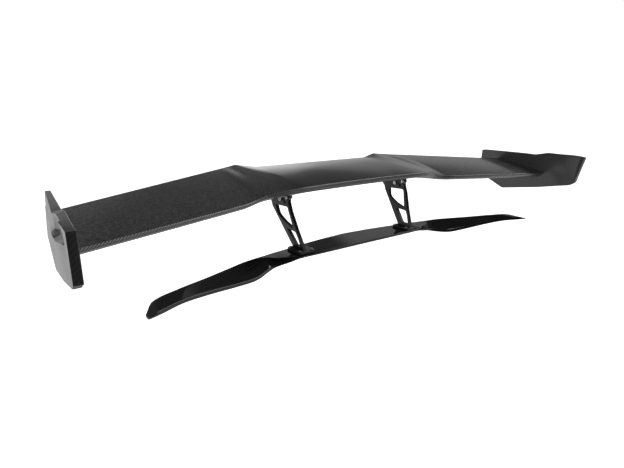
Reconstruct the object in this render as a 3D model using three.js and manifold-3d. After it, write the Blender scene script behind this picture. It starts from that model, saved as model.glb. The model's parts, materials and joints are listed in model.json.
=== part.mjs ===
// Racing rear wing: an inverted carbon wing on two raked pylons that stand on a thin deck spoiler.
// Millimetres. X runs across the car, Y runs rearward, Z up. The origin is the middle of the deck
// spoiler's flat underside, so the wing's leading edge is at negative Y.
import * as THREE from "three";
import { mergeVertices } from "three/addons/utils/BufferGeometryUtils.js";
import Module from "manifold-3d";

const wasm = await Module();
wasm.setup();

// ---- driving dimensions -------------------------------------------------------------------------
const GAP = 0.3; // clearance between touching pieces

const TIP_X = 875; // inner face of an endplate: the wing element is 1750 wide
const SKIN = 1.6; // thickness of a wing skin
const BELLY_CENTRE = 16; // how far the underside bows below its chord, in the middle
const BELLY_TIP = 6;
const CROWN_CENTRE = 5.8; // how far the upper surface bows above its chord, in the middle
const CROWN_TIP = 2;
const FOLD_Y = 80; // the raised facet between centre and outer panels ends here
const FACET_START_Y = 110; // the facet rises out of the centre panel behind this line

const PYLON_THICK = 12;
const PYLON_FOOT_X = 238; // middle of the plate at its foot
const PYLON_HEAD_X = 256; // middle of the plate at its head
const PYLON_BEND_Z = 136; // above this the plate stands upright
const PIVOT = { y: 65, z: 167 }; // axis of the tilt joint
const ADJUSTER = { y: 27, z: 177 }; // adjuster bolt at rest, in its arc slot
const TILT_UP = 8; // degrees, trailing edge up
const TILT_DOWN = 4; // degrees, trailing edge down
const BOND = 0.8; // adhesive between a bracket's flange and the wing's underside
const TONGUE_THICK = 4.4;
const PIVOT_BOLT_R = 4;
const ADJUSTER_BOLT_R = 3;
const BUSH_R = 6;

const FOOT = { x: 235, y: -9, wide: 60, long: 76, thick: 6, gasket: 1.5 };
const FOOT_BOLT_SPREAD = { x: 21, y: 28 }; // from the middle of a foot plate to its bolts
const FOOT_BOLT_R = 3;
const FOOT_BOLT_HEAD_R = 5;
const DECK_TOP = 8; // top of the flat middle of the deck spoiler
const PLATE_THICK = 2.5; // steel backing plate under the deck spoiler
const FRONT_BAND = 10; // height of the deck spoiler's front edge

const FRONT_BEAD = 2; // how far the endplate's front edge swells in, ahead of the wing

const SIDES = [
  { name: "left", sign: -1 },
  { name: "right", sign: 1 },
];

// ---- solids and meshes --------------------------------------------------------------------------
const object = new THREE.Group();

function solidOf(geometry) {
  const bare = geometry.index ? geometry.toNonIndexed() : geometry.clone();
  bare.deleteAttribute("normal");
  bare.deleteAttribute("uv");
  const merged = mergeVertices(bare, 1e-4);
  return new wasm.Manifold(
    new wasm.Mesh({
      numProp: 3,
      vertProperties: merged.attributes.position.array,
      triVerts: new Uint32Array(merged.index.array),
    }),
  );
}

function geometryOf(solid) {
  const mesh = solid.getMesh();
  const geometry = new THREE.BufferGeometry();
  geometry.setAttribute("position", new THREE.BufferAttribute(mesh.vertProperties, mesh.numProp));
  geometry.setIndex(new THREE.BufferAttribute(mesh.triVerts, 1));
  return geometry;
}

const FINISHES = {
  satinCarbon: { color: 0x202122, roughness: 0.5, metalness: 0.1 },
  glossCarbon: { color: 0x0c0c0d, roughness: 0.12, metalness: 0.1 },
  moulded: { color: 0x141415, roughness: 0.32, metalness: 0.05 },
  anodised: { color: 0x1b1b1c, roughness: 0.45, metalness: 0.7 },
  steel: { color: 0xa9abad, roughness: 0.3, metalness: 1 },
  rubber: { color: 0x101010, roughness: 0.85, metalness: 0 },
  core: { color: 0x5b5a50, roughness: 0.8, metalness: 0 },
};

function addPiece(name, solid, finish) {
  const geometry = geometryOf(solid);
  geometry.computeVertexNormals();
  const mesh = new THREE.Mesh(geometry, new THREE.MeshStandardMaterial(FINISHES[finish]));
  mesh.name = name;
  object.add(mesh);
}

// A closed sheet between two grids of points, grid[row][column], facing out whatever their order.
// Quads left of the middle are split along their other diagonal, so both halves mirror exactly.
function sheetSolid(outer, inner) {
  const rows = outer.length;
  const columns = outer[0].length;
  const positions = [...outer.flat(), ...inner.flat()].flatMap((p) => [p.x, p.y, p.z]);
  const at = (side, row, column) => side * rows * columns + row * columns + column;
  const faces = [];
  const quad = (a, b, c, d) => faces.push(a, b, c, a, c, d);
  const mirroredQuad = (a, b, c, d) => faces.push(b, c, d, b, d, a);
  for (let r = 0; r < rows - 1; r++) {
    const face = outer[r][0].x + outer[r + 1][0].x < 0 ? mirroredQuad : quad;
    for (let c = 0; c < columns - 1; c++) {
      face(at(0, r, c), at(0, r + 1, c), at(0, r + 1, c + 1), at(0, r, c + 1));
      face(at(1, r, c), at(1, r, c + 1), at(1, r + 1, c + 1), at(1, r + 1, c));
    }
    quad(at(0, r, 0), at(1, r, 0), at(1, r + 1, 0), at(0, r + 1, 0));
    const last = columns - 1;
    quad(at(0, r, last), at(0, r + 1, last), at(1, r + 1, last), at(1, r, last));
  }
  for (let c = 0; c < columns - 1; c++) {
    quad(at(0, 0, c), at(0, 0, c + 1), at(1, 0, c + 1), at(1, 0, c));
    quad(at(0, rows - 1, c), at(1, rows - 1, c), at(1, rows - 1, c + 1), at(0, rows - 1, c + 1));
  }
  const point = (i) => new THREE.Vector3().fromArray(positions, 3 * i);
  let volume = 0;
  for (let i = 0; i < faces.length; i += 3) {
    const normal = point(faces[i + 1]).cross(point(faces[i + 2]));
    volume += point(faces[i]).dot(normal);
  }
  const geometry = new THREE.BufferGeometry();
  geometry.setAttribute("position", new THREE.Float32BufferAttribute(positions, 3));
  geometry.setIndex(volume < 0 ? faces.reverse() : faces);
  return solidOf(geometry);
}

// A plate whose outline is drawn in the Y-Z plane, between two X planes.
function plateSolid(shape, fromX, toX) {
  const geometry = new THREE.ExtrudeGeometry(shape, {
    depth: toX - fromX,
    bevelEnabled: false,
    curveSegments: 4,
  });
  const turn = new THREE.Matrix4().set(0, 0, 1, fromX, 1, 0, 0, 0, 0, 1, 0, 0, 0, 0, 0, 1);
  return solidOf(geometry.applyMatrix4(turn));
}

function outline(points) {
  return new THREE.Shape(points.map(([y, z]) => new THREE.Vector2(y, z)));
}

// An outline whose corners are rounded: each point is [y, z, radius].
function roundedOutline(corners) {
  const shape = new THREE.Shape();
  corners.forEach(([y, z, radius], i) => {
    const corner = new THREE.Vector2(y, z);
    const before = corners.at(i - 1);
    const after = corners[(i + 1) % corners.length];
    const back = new THREE.Vector2(before[0], before[1]).sub(corner).normalize();
    const ahead = new THREE.Vector2(after[0], after[1]).sub(corner).normalize();
    const reach = radius / Math.tan(Math.acos(back.dot(ahead)) / 2);
    const start = corner.clone().addScaledVector(back, reach);
    const end = corner.clone().addScaledVector(ahead, reach);
    if (i === 0) shape.moveTo(start.x, start.y);
    else shape.lineTo(start.x, start.y);
    shape.quadraticCurveTo(corner.x, corner.y, end.x, end.y);
  });
  shape.closePath();
  return shape;
}

function boxSolid(x0, x1, y0, y1, z0, z1) {
  const geometry = new THREE.BoxGeometry(x1 - x0, y1 - y0, z1 - z0);
  geometry.translate((x0 + x1) / 2, (y0 + y1) / 2, (z0 + z1) / 2);
  return solidOf(geometry);
}

// A rod along X or Z, from one coordinate to another on its axis.
function rodAlongX(radius, fromX, toX, y, z, sides = 12) {
  const geometry = new THREE.CylinderGeometry(radius, radius, toX - fromX, sides);
  geometry.rotateZ(Math.PI / 2);
  geometry.translate((fromX + toX) / 2, y, z);
  return solidOf(geometry);
}

function rodAlongZ(radius, fromZ, toZ, x, y, sides = 12) {
  const geometry = new THREE.CylinderGeometry(radius, radius, toZ - fromZ, sides);
  geometry.rotateX(Math.PI / 2);
  geometry.translate(x, y, (fromZ + toZ) / 2);
  return solidOf(geometry);
}

const mirrored = (solid) => solid.mirror([1, 0, 0]);
const forSide = (side, solid) => (side.sign > 0 ? solid : mirrored(solid));

// A smooth curve through hand-set stations: value(x) for a table of { x, ...values }.
function smoothThrough(stations, key) {
  const slope = (i) => {
    const before = stations[Math.max(i - 1, 0)];
    const after = stations[Math.min(i + 1, stations.length - 1)];
    return (after[key] - before[key]) / (after.x - before.x);
  };
  return (x) => {
    let i = stations.findIndex((s) => s.x >= x);
    i = i < 0 ? stations.length - 1 : Math.max(i, 1);
    const a = stations[i - 1];
    const b = stations[i];
    const width = b.x - a.x;
    const t = (x - a.x) / width;
    const keepStart = 2 * t ** 3 - 3 * t ** 2 + 1;
    const tangents = (t ** 3 - 2 * t ** 2 + t) * slope(i - 1) + (t ** 3 - t ** 2) * slope(i);
    return keepStart * a[key] + (1 - keepStart) * b[key] + width * tangents;
  };
}

function straightThrough(stations, key) {
  return (x) => {
    let i = stations.findIndex((s) => s.x >= x);
    i = i < 0 ? stations.length - 1 : Math.max(i, 1);
    const a = stations[i - 1];
    const b = stations[i];
    return a[key] + ((x - a.x) / (b.x - a.x)) * (b[key] - a[key]);
  };
}

// ---- wing element -------------------------------------------------------------------------------
// The leading edge is a band: its crest carries the upper skin and its chin starts the underside.
const CREST = [
  { x: 0, y: -37, z: 218 },
  { x: 140, y: -40, z: 218 },
  { x: 250, y: -50, z: 218 },
  { x: 310, y: -47, z: 215 },
  { x: 361, y: -32, z: 206 },
  { x: 400, y: -33, z: 195.5 },
  { x: 440, y: -50, z: 192 },
  { x: TIP_X, y: -173, z: 180 },
];
const CHIN = [
  { x: 0, y: -34, z: 201 },
  { x: 140, y: -36, z: 201 },
  { x: 250, y: -42, z: 201 },
  { x: 310, y: -22, z: 192 },
  { x: 361, y: 0, z: 182.5 },
  { x: 400, y: -12, z: 176.5 },
  { x: 440, y: -27, z: 173 },
  { x: TIP_X, y: -148, z: 160 },
];
const TRAIL = [
  { x: 0, y: 252, z: 246 },
  { x: 249, y: 250, z: 246 },
  { x: 318, y: 268, z: 257 },
  { x: 350, y: 256, z: 253.5 },
  { x: TIP_X, y: 40, z: 219.5 },
];
// Span lines run from the leading edge to the trailing edge. The middle ones bend at the fold, so
// that the facet's two creases and the shoulder of the outer panel each follow one line.
const SPAN_LINES = [
  { lead: 0, fold: 0, trail: 0, lift: 0 },
  { lead: 70, fold: 70, trail: 70, lift: 0 },
  { lead: 140, fold: 140, trail: 140, lift: 0 },
  { lead: 205, fold: 205, trail: 200, lift: 0 },
  { lead: 255, fold: 257, trail: 249, lift: 0 },
  { lead: 300, fold: 265, trail: 318, lift: 11 },
  { lead: 332, fold: 305, trail: 334, lift: 9.2 },
  { lead: 361, fold: 343, trail: 350, lift: 7.5 },
  ...[380, 400, 420, 440, 490, 550, 610, 670, 730, 790, TIP_X - GAP].map((x) => ({
    lead: x,
    fold: x,
    trail: x,
    outer: true,
  })),
];
const CHORD_STEPS = 12;

const crestY = smoothThrough(CREST, "y");
const crestZ = smoothThrough(CREST, "z");
const chinY = smoothThrough(CHIN, "y");
const chinZ = smoothThrough(CHIN, "z");
const trailY = straightThrough(TRAIL, "y");
const trailZ = straightThrough(TRAIL, "z");
const towardTip = (x) => THREE.MathUtils.clamp((x - 350) / (TIP_X - 350), 0, 1);
const blend = (from, to, t) => from + (to - from) * t;
const bow = (t) => 4 * t * (1 - t);

// The x of a span line where it passes a given y.
function lineX(line, y) {
  const lead = crestY(line.lead);
  const trail = trailY(line.trail);
  const front = THREE.MathUtils.clamp((y - lead) / (FOLD_Y - lead), 0, 1);
  const rear = THREE.MathUtils.clamp((y - FOLD_Y) / (trail - FOLD_Y), 0, 1);
  return y < FOLD_Y ? blend(line.lead, line.fold, front) : blend(line.fold, line.trail, rear);
}

// Height of the upper surface on a span line at fraction t of the chord.
function upperPoint(line, t) {
  const y = blend(crestY(line.lead), trailY(line.trail), t);
  const x = lineX(line, y);
  const crest = crestZ(line.lead);
  if (line.outer) {
    const crown = blend(CROWN_CENTRE, CROWN_TIP, towardTip(x));
    return new THREE.Vector3(x, y, blend(crest, trailZ(line.trail), t) + crown * bow(t));
  }
  const centre = TRAIL[0];
  const along = (y - crestY(line.lead)) / (centre.y - crestY(line.lead));
  const panel = blend(crest, centre.z, along) + CROWN_CENTRE * bow(along);
  const rise = Math.max(0, (y - FACET_START_Y) / (trailY(line.trail) - FACET_START_Y));
  return new THREE.Vector3(x, y, panel + line.lift * rise ** 2);
}

// The underside's section on a span line, from the crest round the chin to the trailing edge.
function lowerSection(line) {
  const crest = { y: crestY(line.lead), z: crestZ(line.lead) - SKIN - GAP };
  const chin = { y: chinY(line.lead), z: chinZ(line.lead) };
  const end = upperPoint(line, 1);
  const trail = { y: end.y, z: end.z - 2 * SKIN - GAP };
  const belly = blend(BELLY_CENTRE, BELLY_TIP, towardTip(line.lead));
  const points = [crest, { y: blend(crest.y, chin.y, 0.35) - 2, z: blend(crest.z, chin.z, 0.5) }, chin];
  for (let i = 1; i <= CHORD_STEPS; i++) {
    const t = (i / CHORD_STEPS) ** 1.3;
    const sag = belly * bow(t ** 0.8) * (i === CHORD_STEPS ? 0 : 1);
    points.push({ y: blend(chin.y, trail.y, t), z: blend(chin.z, trail.z, t) - sag });
  }
  return points;
}

// The same section one skin thickness further in.
function insetSection(points) {
  return points.map((p, i) => {
    const before = points[Math.max(i - 1, 0)];
    const after = points[Math.min(i + 1, points.length - 1)];
    const length = Math.hypot(after.y - before.y, after.z - before.z);
    const inward = { y: -(after.z - before.z) / length, z: (after.y - before.y) / length };
    if (i === 0) return { y: p.y + SKIN, z: p.z };
    if (i === points.length - 1) return { y: p.y, z: p.z + SKIN };
    return { y: p.y + inward.y * SKIN, z: p.z + inward.z * SKIN };
  });
}

const sectionOnLine = (line, points) =>
  points.map((p) => new THREE.Vector3(lineX(line, p.y), p.y, p.z));

// Both halves of the span from the lines of one half.
function wholeSpan(lines, build) {
  const half = lines.map(build);
  const flip = (row) => row.map((p) => new THREE.Vector3(-p.x, p.y, p.z));
  return [...half.slice(1).reverse().map(flip), ...half];
}

function upperRow(line, drop = 0) {
  const row = [];
  for (let i = 0; i <= CHORD_STEPS; i++) {
    const point = upperPoint(line, i / CHORD_STEPS);
    point.z -= drop;
    row.push(point);
  }
  return row;
}

function upperSkin() {
  return sheetSolid(
    wholeSpan(SPAN_LINES, (line) => upperRow(line)),
    wholeSpan(SPAN_LINES, (line) => upperRow(line, SKIN)),
  );
}

function lowerSkin() {
  return sheetSolid(
    wholeSpan(SPAN_LINES, (line) => sectionOnLine(line, lowerSection(line))),
    wholeSpan(SPAN_LINES, (line) => sectionOnLine(line, insetSection(lowerSection(line)))),
  );
}

// Heights of the hollow between the skins at a fraction of the chord.
function hollowAt(line, t, margin) {
  const top = upperPoint(line, t);
  const floor = insetSection(lowerSection(line));
  const next = floor.findIndex((p, i) => i > 2 && p.y >= top.y);
  const a = floor[next - 1];
  const b = floor[next];
  const bottom = blend(a.z, b.z, (top.y - a.y) / (b.y - a.y));
  return { x: top.x, y: top.y, top: top.z - SKIN - margin, bottom: bottom + margin };
}

const SPAR_THICK = 4;
const SPAR_MARGIN = 1; // room for the bond line above and below a spar
const FRONT_SPAR_AT = 3 / CHORD_STEPS;
const REAR_SPAR_AT = 8 / CHORD_STEPS;
const SPAR_END_X = 860;

function spar(t) {
  const lines = SPAN_LINES.filter((line) => line.lead < SPAR_END_X);
  const wall = (shift) =>
    wholeSpan(lines, (line) => {
      const hollow = hollowAt(line, t, SPAR_MARGIN);
      const y = hollow.y + shift;
      return [hollow.bottom, hollow.top].map((z) => new THREE.Vector3(hollow.x, y, z));
    });
  return sheetSolid(wall(-SPAR_THICK / 2), wall(SPAR_THICK / 2));
}

// A rib that closes the hollow end of the wing just inside the endplate.
const RIB_THICK = 6;
function tipRib() {
  const inboard = TIP_X - RIB_THICK;
  const line = { lead: inboard, fold: inboard, trail: inboard, outer: true };
  const tops = [];
  const bottoms = [];
  for (let i = 2; i <= CHORD_STEPS - 2; i++) {
    const hollow = hollowAt(line, i / CHORD_STEPS, SPAR_MARGIN);
    tops.push([hollow.y, hollow.top]);
    bottoms.unshift([hollow.y, hollow.bottom]);
  }
  return plateSolid(outline([...tops, ...bottoms]), TIP_X - RIB_THICK, TIP_X - 1);
}

// ---- pylon --------------------------------------------------------------------------------------
function legOutline() {
  return outline([
    [-41, DECK_TOP + FOOT.gasket + 1],
    [20, DECK_TOP + FOOT.gasket + 1],
    [122, PYLON_BEND_Z + 2],
    [11, PYLON_BEND_Z + 2],
    [-10, 80],
  ]);
}

function headOutline() {
  return roundedOutline([
    [10, PYLON_BEND_Z - 2, 2],
    [119, PYLON_BEND_Z - 2, 2],
    [124, 148, 4],
    [136, 160, 3],
    [134, 176, 5],
    [62, 181, 8],
    [38, 182, 6],
    [26, 187, 3],
    [20, 187, 4],
    [21, 162, 10],
  ]);
}

function upperWindow() {
  const shape = new THREE.Shape();
  shape.moveTo(98, 140);
  shape.quadraticCurveTo(88, 108, 56, 95);
  shape.lineTo(16, 84);
  shape.quadraticCurveTo(4, 82, 8, 98);
  shape.lineTo(21, 133);
  shape.quadraticCurveTo(26, 146, 44, 147);
  shape.lineTo(90, 144);
  shape.quadraticCurveTo(99, 144, 98, 140);
  return shape;
}

function lowerWindow() {
  return roundedOutline([
    [45, 74, 3],
    [5, 26, 3],
    [-24, 25, 3],
    [-13, 55, 8],
    [-3, 71, 8],
  ]);
}

// The wedge-shaped opening between the pivot boss and the front arm.
function headWindow() {
  return roundedOutline([
    [45, 157, 3],
    [34, 156, 3],
    [42, 173, 3],
    [51, 171, 3],
  ]);
}

const fromPivot = (degrees, point = ADJUSTER) => {
  const turn = THREE.MathUtils.degToRad(degrees);
  const y = point.y - PIVOT.y;
  const z = point.z - PIVOT.z;
  return [
    PIVOT.y + y * Math.cos(turn) - z * Math.sin(turn),
    PIVOT.z + y * Math.sin(turn) + z * Math.cos(turn),
  ];
};

// The arc slot that the adjuster bolt slides in, open on both faces of the head.
function adjusterSlot() {
  const width = ADJUSTER_BOLT_R + GAP;
  const radius = Math.hypot(ADJUSTER.y - PIVOT.y, ADJUSTER.z - PIVOT.z);
  const rest = Math.atan2(ADJUSTER.z - PIVOT.z, ADJUSTER.y - PIVOT.y);
  const spare = THREE.MathUtils.radToDeg(0.5 / radius);
  const from = rest - THREE.MathUtils.degToRad(TILT_DOWN + spare);
  const to = rest + THREE.MathUtils.degToRad(TILT_UP + spare);
  const shape = new THREE.Shape();
  shape.absarc(PIVOT.y, PIVOT.z, radius + width, from, to, false);
  const [endY, endZ] = fromPivot(TILT_UP + spare);
  shape.absarc(endY, endZ, width, to, to + Math.PI, false);
  shape.absarc(PIVOT.y, PIVOT.z, radius - width, to, from, true);
  const [startY, startZ] = fromPivot(-TILT_DOWN - spare);
  shape.absarc(startY, startZ, width, from + Math.PI, from + 2 * Math.PI, false);
  return shape;
}

function footPlate() {
  const shape = new THREE.Shape();
  const x = FOOT.wide / 2;
  const y = FOOT.long / 2;
  const chamfer = 6;
  shape.moveTo(-x + chamfer, -y);
  shape.lineTo(x - chamfer, -y);
  shape.lineTo(x, -y + chamfer);
  shape.lineTo(x, y - chamfer);
  shape.lineTo(x - chamfer, y);
  shape.lineTo(-x + chamfer, y);
  shape.lineTo(-x, y - chamfer);
  shape.lineTo(-x, -y + chamfer);
  return shape;
}

function flatSolid(shape, x, y, fromZ, toZ) {
  const geometry = new THREE.ExtrudeGeometry(shape, { depth: toZ - fromZ, bevelEnabled: false });
  return solidOf(geometry.translate(x, y, fromZ));
}

const FOOT_HOLES = [-1, 1].flatMap((across) =>
  [-1, 1].map((along) => ({
    x: FOOT.x + across * FOOT_BOLT_SPREAD.x,
    y: FOOT.y + along * FOOT_BOLT_SPREAD.y,
  })),
);

function pylon() {
  const half = PYLON_THICK / 2;
  const foot = DECK_TOP + FOOT.gasket + GAP;
  const lean = (PYLON_HEAD_X - PYLON_FOOT_X) / (PYLON_BEND_Z - foot);
  const shear = new THREE.Matrix4().set(1, 0, lean, -lean * foot, 0, 1, 0, 0, 0, 0, 1, 0, 0, 0, 0, 1);
  const straightLeg = geometryOf(plateSolid(legOutline(), PYLON_FOOT_X - half, PYLON_FOOT_X + half));
  const leg = solidOf(straightLeg.applyMatrix4(shear));
  const head = plateSolid(headOutline(), PYLON_HEAD_X - half, PYLON_HEAD_X + half);
  const inner = PYLON_FOOT_X - 2 * PYLON_THICK;
  const outer = PYLON_HEAD_X + 2 * PYLON_THICK;
  const slotHalf = TONGUE_THICK / 2 + GAP;
  let solid = leg.add(head);
  solid = solid.subtract(plateSolid(upperWindow(), inner, outer));
  solid = solid.subtract(plateSolid(lowerWindow(), inner, outer));
  solid = solid.subtract(plateSolid(headWindow(), inner, outer));
  solid = solid.subtract(plateSolid(adjusterSlot(), inner, outer));
  solid = solid.subtract(rodAlongX(PIVOT_BOLT_R + GAP, inner, outer, PIVOT.y, PIVOT.z));
  solid = solid.subtract(
    plateSolid(forkOutline(), PYLON_HEAD_X - slotHalf, PYLON_HEAD_X + slotHalf),
  );
  solid = solid.add(flatSolid(footPlate(), FOOT.x, FOOT.y, foot, foot + FOOT.thick));
  for (const hole of FOOT_HOLES) {
    solid = solid.subtract(rodAlongZ(FOOT_BOLT_R + GAP, 0, 40, hole.x, hole.y));
    const headRoom = rodAlongZ(FOOT_BOLT_HEAD_R + 1, foot + FOOT.thick, 40, hole.x, hole.y);
    solid = solid.subtract(headRoom);
  }
  return solid;
}

// The fork in the pylon's head that the wing bracket's tongue turns in.
function forkOutline() {
  return outline([
    [0, 158],
    [40, 158],
    [58, 153],
    [80, 153],
    [130, 158],
    [130, 200],
    [0, 200],
  ]);
}

// ---- wing bracket -------------------------------------------------------------------------------
// The bracket's flange is bonded and screwed under the wing, and its tongue hangs into the fork.
const FLANGE = { fromY: 34, toY: 130, wide: 42, frontZ: 190, rearZ: 198, topZ: 230 };

// Everything just above the wing's underside, less the clearance for the bond line.
function aboveUnderside() {
  const layer = (rise) =>
    wholeSpan(SPAN_LINES, (line) =>
      sectionOnLine(line, lowerSection(line).slice(2)).map((p) => p.setZ(p.z + rise)),
    );
  return sheetSolid(layer(-BOND), layer(60));
}

function wingBracket() {
  const flange = plateSolid(
    outline([
      [FLANGE.fromY, FLANGE.frontZ],
      [62, FLANGE.frontZ],
      [100, FLANGE.rearZ],
      [FLANGE.toY, FLANGE.rearZ],
      [FLANGE.toY, FLANGE.topZ],
      [FLANGE.fromY, FLANGE.topZ],
    ]),
    PYLON_HEAD_X - FLANGE.wide / 2,
    PYLON_HEAD_X + FLANGE.wide / 2,
  );
  const tongue = plateSolid(
    tongueOutline(),
    PYLON_HEAD_X - TONGUE_THICK / 2,
    PYLON_HEAD_X + TONGUE_THICK / 2,
  );
  const inner = PYLON_HEAD_X - FLANGE.wide;
  const outer = PYLON_HEAD_X + FLANGE.wide;
  const bore = rodAlongX(BUSH_R + GAP, inner, outer, PIVOT.y, PIVOT.z);
  const adjuster = rodAlongX(ADJUSTER_BOLT_R + GAP, inner, outer, ADJUSTER.y, ADJUSTER.z);
  let solid = flange.add(tongue).subtract(aboveUnderside()).subtract(bore).subtract(adjuster);
  for (const hole of BRACKET_HOLES) {
    solid = solid.subtract(rodAlongZ(SCREW_R + GAP, 180, 230, hole.x, hole.y));
  }
  return solid;
}

function tongueOutline() {
  const shape = new THREE.Shape();
  shape.moveTo(110, 204);
  shape.lineTo(98, 180);
  shape.absarc(PIVOT.y, PIVOT.z, 11, 0.4, -Math.PI / 2 - 0.4, true);
  shape.absarc(ADJUSTER.y, ADJUSTER.z, 7, -Math.PI / 2 - 0.2, Math.PI / 2 + 0.6, true);
  shape.lineTo(FLANGE.fromY + 4, 199);
  return shape;
}

const SCREW_R = 2.5;
const SCREW_HEAD_R = 4.2;
const BRACKET_HOLES = [
  { y: 46, seat: FLANGE.frontZ },
  { y: 117, seat: FLANGE.rearZ },
].flatMap((row) => [-13, 13].map((across) => ({ ...row, x: PYLON_HEAD_X + across })));

// The aluminium block bonded between the skins, which the bracket's screws go into.
const HARDPOINT = {
  from: FRONT_SPAR_AT + 0.045, // fractions of the chord
  to: REAR_SPAR_AT - 0.1,
  steps: 5,
  margin: 3.5,
  halfWide: 19,
};
function hardpoint() {
  const line = { lead: PYLON_HEAD_X + 3, fold: PYLON_HEAD_X, trail: PYLON_HEAD_X - 6, lift: 0 };
  const tops = [];
  const bottoms = [];
  for (let i = 0; i <= HARDPOINT.steps; i++) {
    const along = blend(HARDPOINT.from, HARDPOINT.to, i / HARDPOINT.steps);
    const hollow = hollowAt(line, along, HARDPOINT.margin);
    tops.push([hollow.y, hollow.top]);
    bottoms.unshift([hollow.y, hollow.bottom]);
  }
  let solid = plateSolid(
    outline([...tops, ...bottoms]),
    PYLON_HEAD_X - HARDPOINT.halfWide,
    PYLON_HEAD_X + HARDPOINT.halfWide,
  );
  for (const hole of BRACKET_HOLES) {
    solid = solid.subtract(rodAlongZ(SCREW_R + GAP, 180, 222, hole.x, hole.y));
  }
  return solid;
}

// ---- fasteners ----------------------------------------------------------------------------------
// A socket-head bolt standing on z = 0 with its shank down, hex socket in the head.
function socketBolt(shankR, headR, headTall, shankLong) {
  const profile = [
    [0, -shankLong],
    [shankR, -shankLong],
    [shankR, 0],
    [headR, 0],
    [headR, headTall - 0.6],
    [headR - 0.6, headTall],
    [0, headTall],
  ].map(([r, z]) => new THREE.Vector2(r, z));
  const body = new THREE.LatheGeometry(profile, 10).rotateX(Math.PI / 2);
  const socket = new THREE.CylinderGeometry(headR * 0.5, headR * 0.5, headTall, 6);
  socket.rotateX(Math.PI / 2).translate(0, 0, headTall);
  return solidOf(body).subtract(solidOf(socket));
}

// A hexagon nut between z = 0 and its thickness.
function hexNut(boreR, acrossFlats, thick) {
  const cornerR = acrossFlats / Math.sqrt(3);
  const geometry = new THREE.CylinderGeometry(cornerR, cornerR, thick, 6);
  geometry.rotateX(Math.PI / 2).translate(0, 0, thick / 2);
  return solidOf(geometry).subtract(rodAlongZ(boreR, -1, thick + 1, 0, 0));
}

// Turns a piece that points up Z so that it points along +X, and puts it at a place.
function pointAlongX(solid, x, y, z) {
  const geometry = geometryOf(solid);
  geometry.rotateY(Math.PI / 2).translate(x, y, z);
  return solidOf(geometry);
}

function pointAlongMinusX(solid, x, y, z) {
  const geometry = geometryOf(solid);
  geometry.rotateY(-Math.PI / 2).translate(x, y, z);
  return solidOf(geometry);
}

// ---- deck spoiler -------------------------------------------------------------------------------
// Half stations: the rear edge, the front edge's bottom, and the line where the slope begins.
const DECK = [
  { x: 0, rear: 64, rearZ: 8, front: -50, frontZ: 0, hinge: -42 },
  { x: 120, rear: 54, rearZ: 8, front: -51, frontZ: 0, hinge: -43 },
  { x: 200, rear: 43, rearZ: 8, front: -51, frontZ: 0, hinge: -43 },
  { x: 265, rear: 32, rearZ: 8, front: -49, frontZ: -1, hinge: -41 },
  { x: 300, rear: 25, rearZ: 9, front: -46, frontZ: -7, hinge: -38 },
  { x: 335, rear: 17, rearZ: 9.5, front: -38, frontZ: -14, hinge: -26 },
  { x: 355, rear: 12, rearZ: 10, front: -37, frontZ: -19, hinge: -8 },
  { x: 380, rear: 7, rearZ: 10.5, front: -46, frontZ: -24, hinge: 0 },
  { x: 410, rear: 0, rearZ: 11, front: -61, frontZ: -27.5, hinge: -3 },
  { x: 440, rear: -9, rearZ: 11.5, front: -73, frontZ: -27.5, hinge: -12 },
  { x: 500, rear: -33, rearZ: 12, front: -90, frontZ: -22, hinge: -36 },
  { x: 580, rear: -63, rearZ: 12.5, front: -114, frontZ: -12, hinge: -67 },
  { x: 660, rear: -91, rearZ: 13, front: -145, frontZ: -2, hinge: -98 },
  { x: 728, rear: -126, rearZ: 13, front: -181, frontZ: 2, hinge: -134 },
  { x: 754, rear: -168, rearZ: 5, front: -192, frontZ: 3, hinge: -172 },
];
const DECK_LINES = [
  0, 60, 120, 165, 200, 235, 265, 285, 300, 318, 335, 345, 355, 367, 380, 395, 410, 425, 440, 470,
  500, 540, 580, 620, 660, 700, 728, 742, 754,
];
const deck = Object.fromEntries(
  ["rear", "rearZ", "front", "frontZ", "hinge"].map((key) => [key, smoothThrough(DECK, key)]),
);
const DECK_WALL = 5;

function deckTopRow(x) {
  const band = blend(8, FRONT_BAND, THREE.MathUtils.smoothstep(x, 265, 400)) * (x > 740 ? 0.4 : 1);
  const front = { y: deck.front(x), z: deck.frontZ(x) };
  const lip = { y: front.y - 0.5, z: front.z + band - 1.5 };
  const crest = { y: front.y + 3, z: front.z + band };
  const hinge = { y: deck.hinge(x), z: deck.rearZ(x) };
  const rear = { y: deck.rear(x), z: deck.rearZ(x) };
  const points = [front, lip, crest];
  for (const t of [0.25, 0.5, 0.75]) {
    const y = blend(crest.y, hinge.y, t);
    points.push({ y, z: blend(crest.z, hinge.z, t) + 0.04 * (hinge.z - crest.z) * bow(t) });
  }
  points.push(hinge, { y: blend(hinge.y, rear.y, 0.5), z: rear.z }, rear);
  return points.map((p) => new THREE.Vector3(x, p.y, p.z));
}

function deckBottomRow(x) {
  const flat = 1 - THREE.MathUtils.smoothstep(x, 265, 330);
  const top = deckTopRow(x);
  const bandPoints = 3;
  return top.map((p, i) => {
    const inBand = i < bandPoints;
    const y = inBand ? top[0].y + 1 + i : p.y;
    const z = inBand ? top[0].z + 0.4 : p.z - DECK_WALL;
    return new THREE.Vector3(x, y, blend(z, 0, flat));
  });
}

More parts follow.
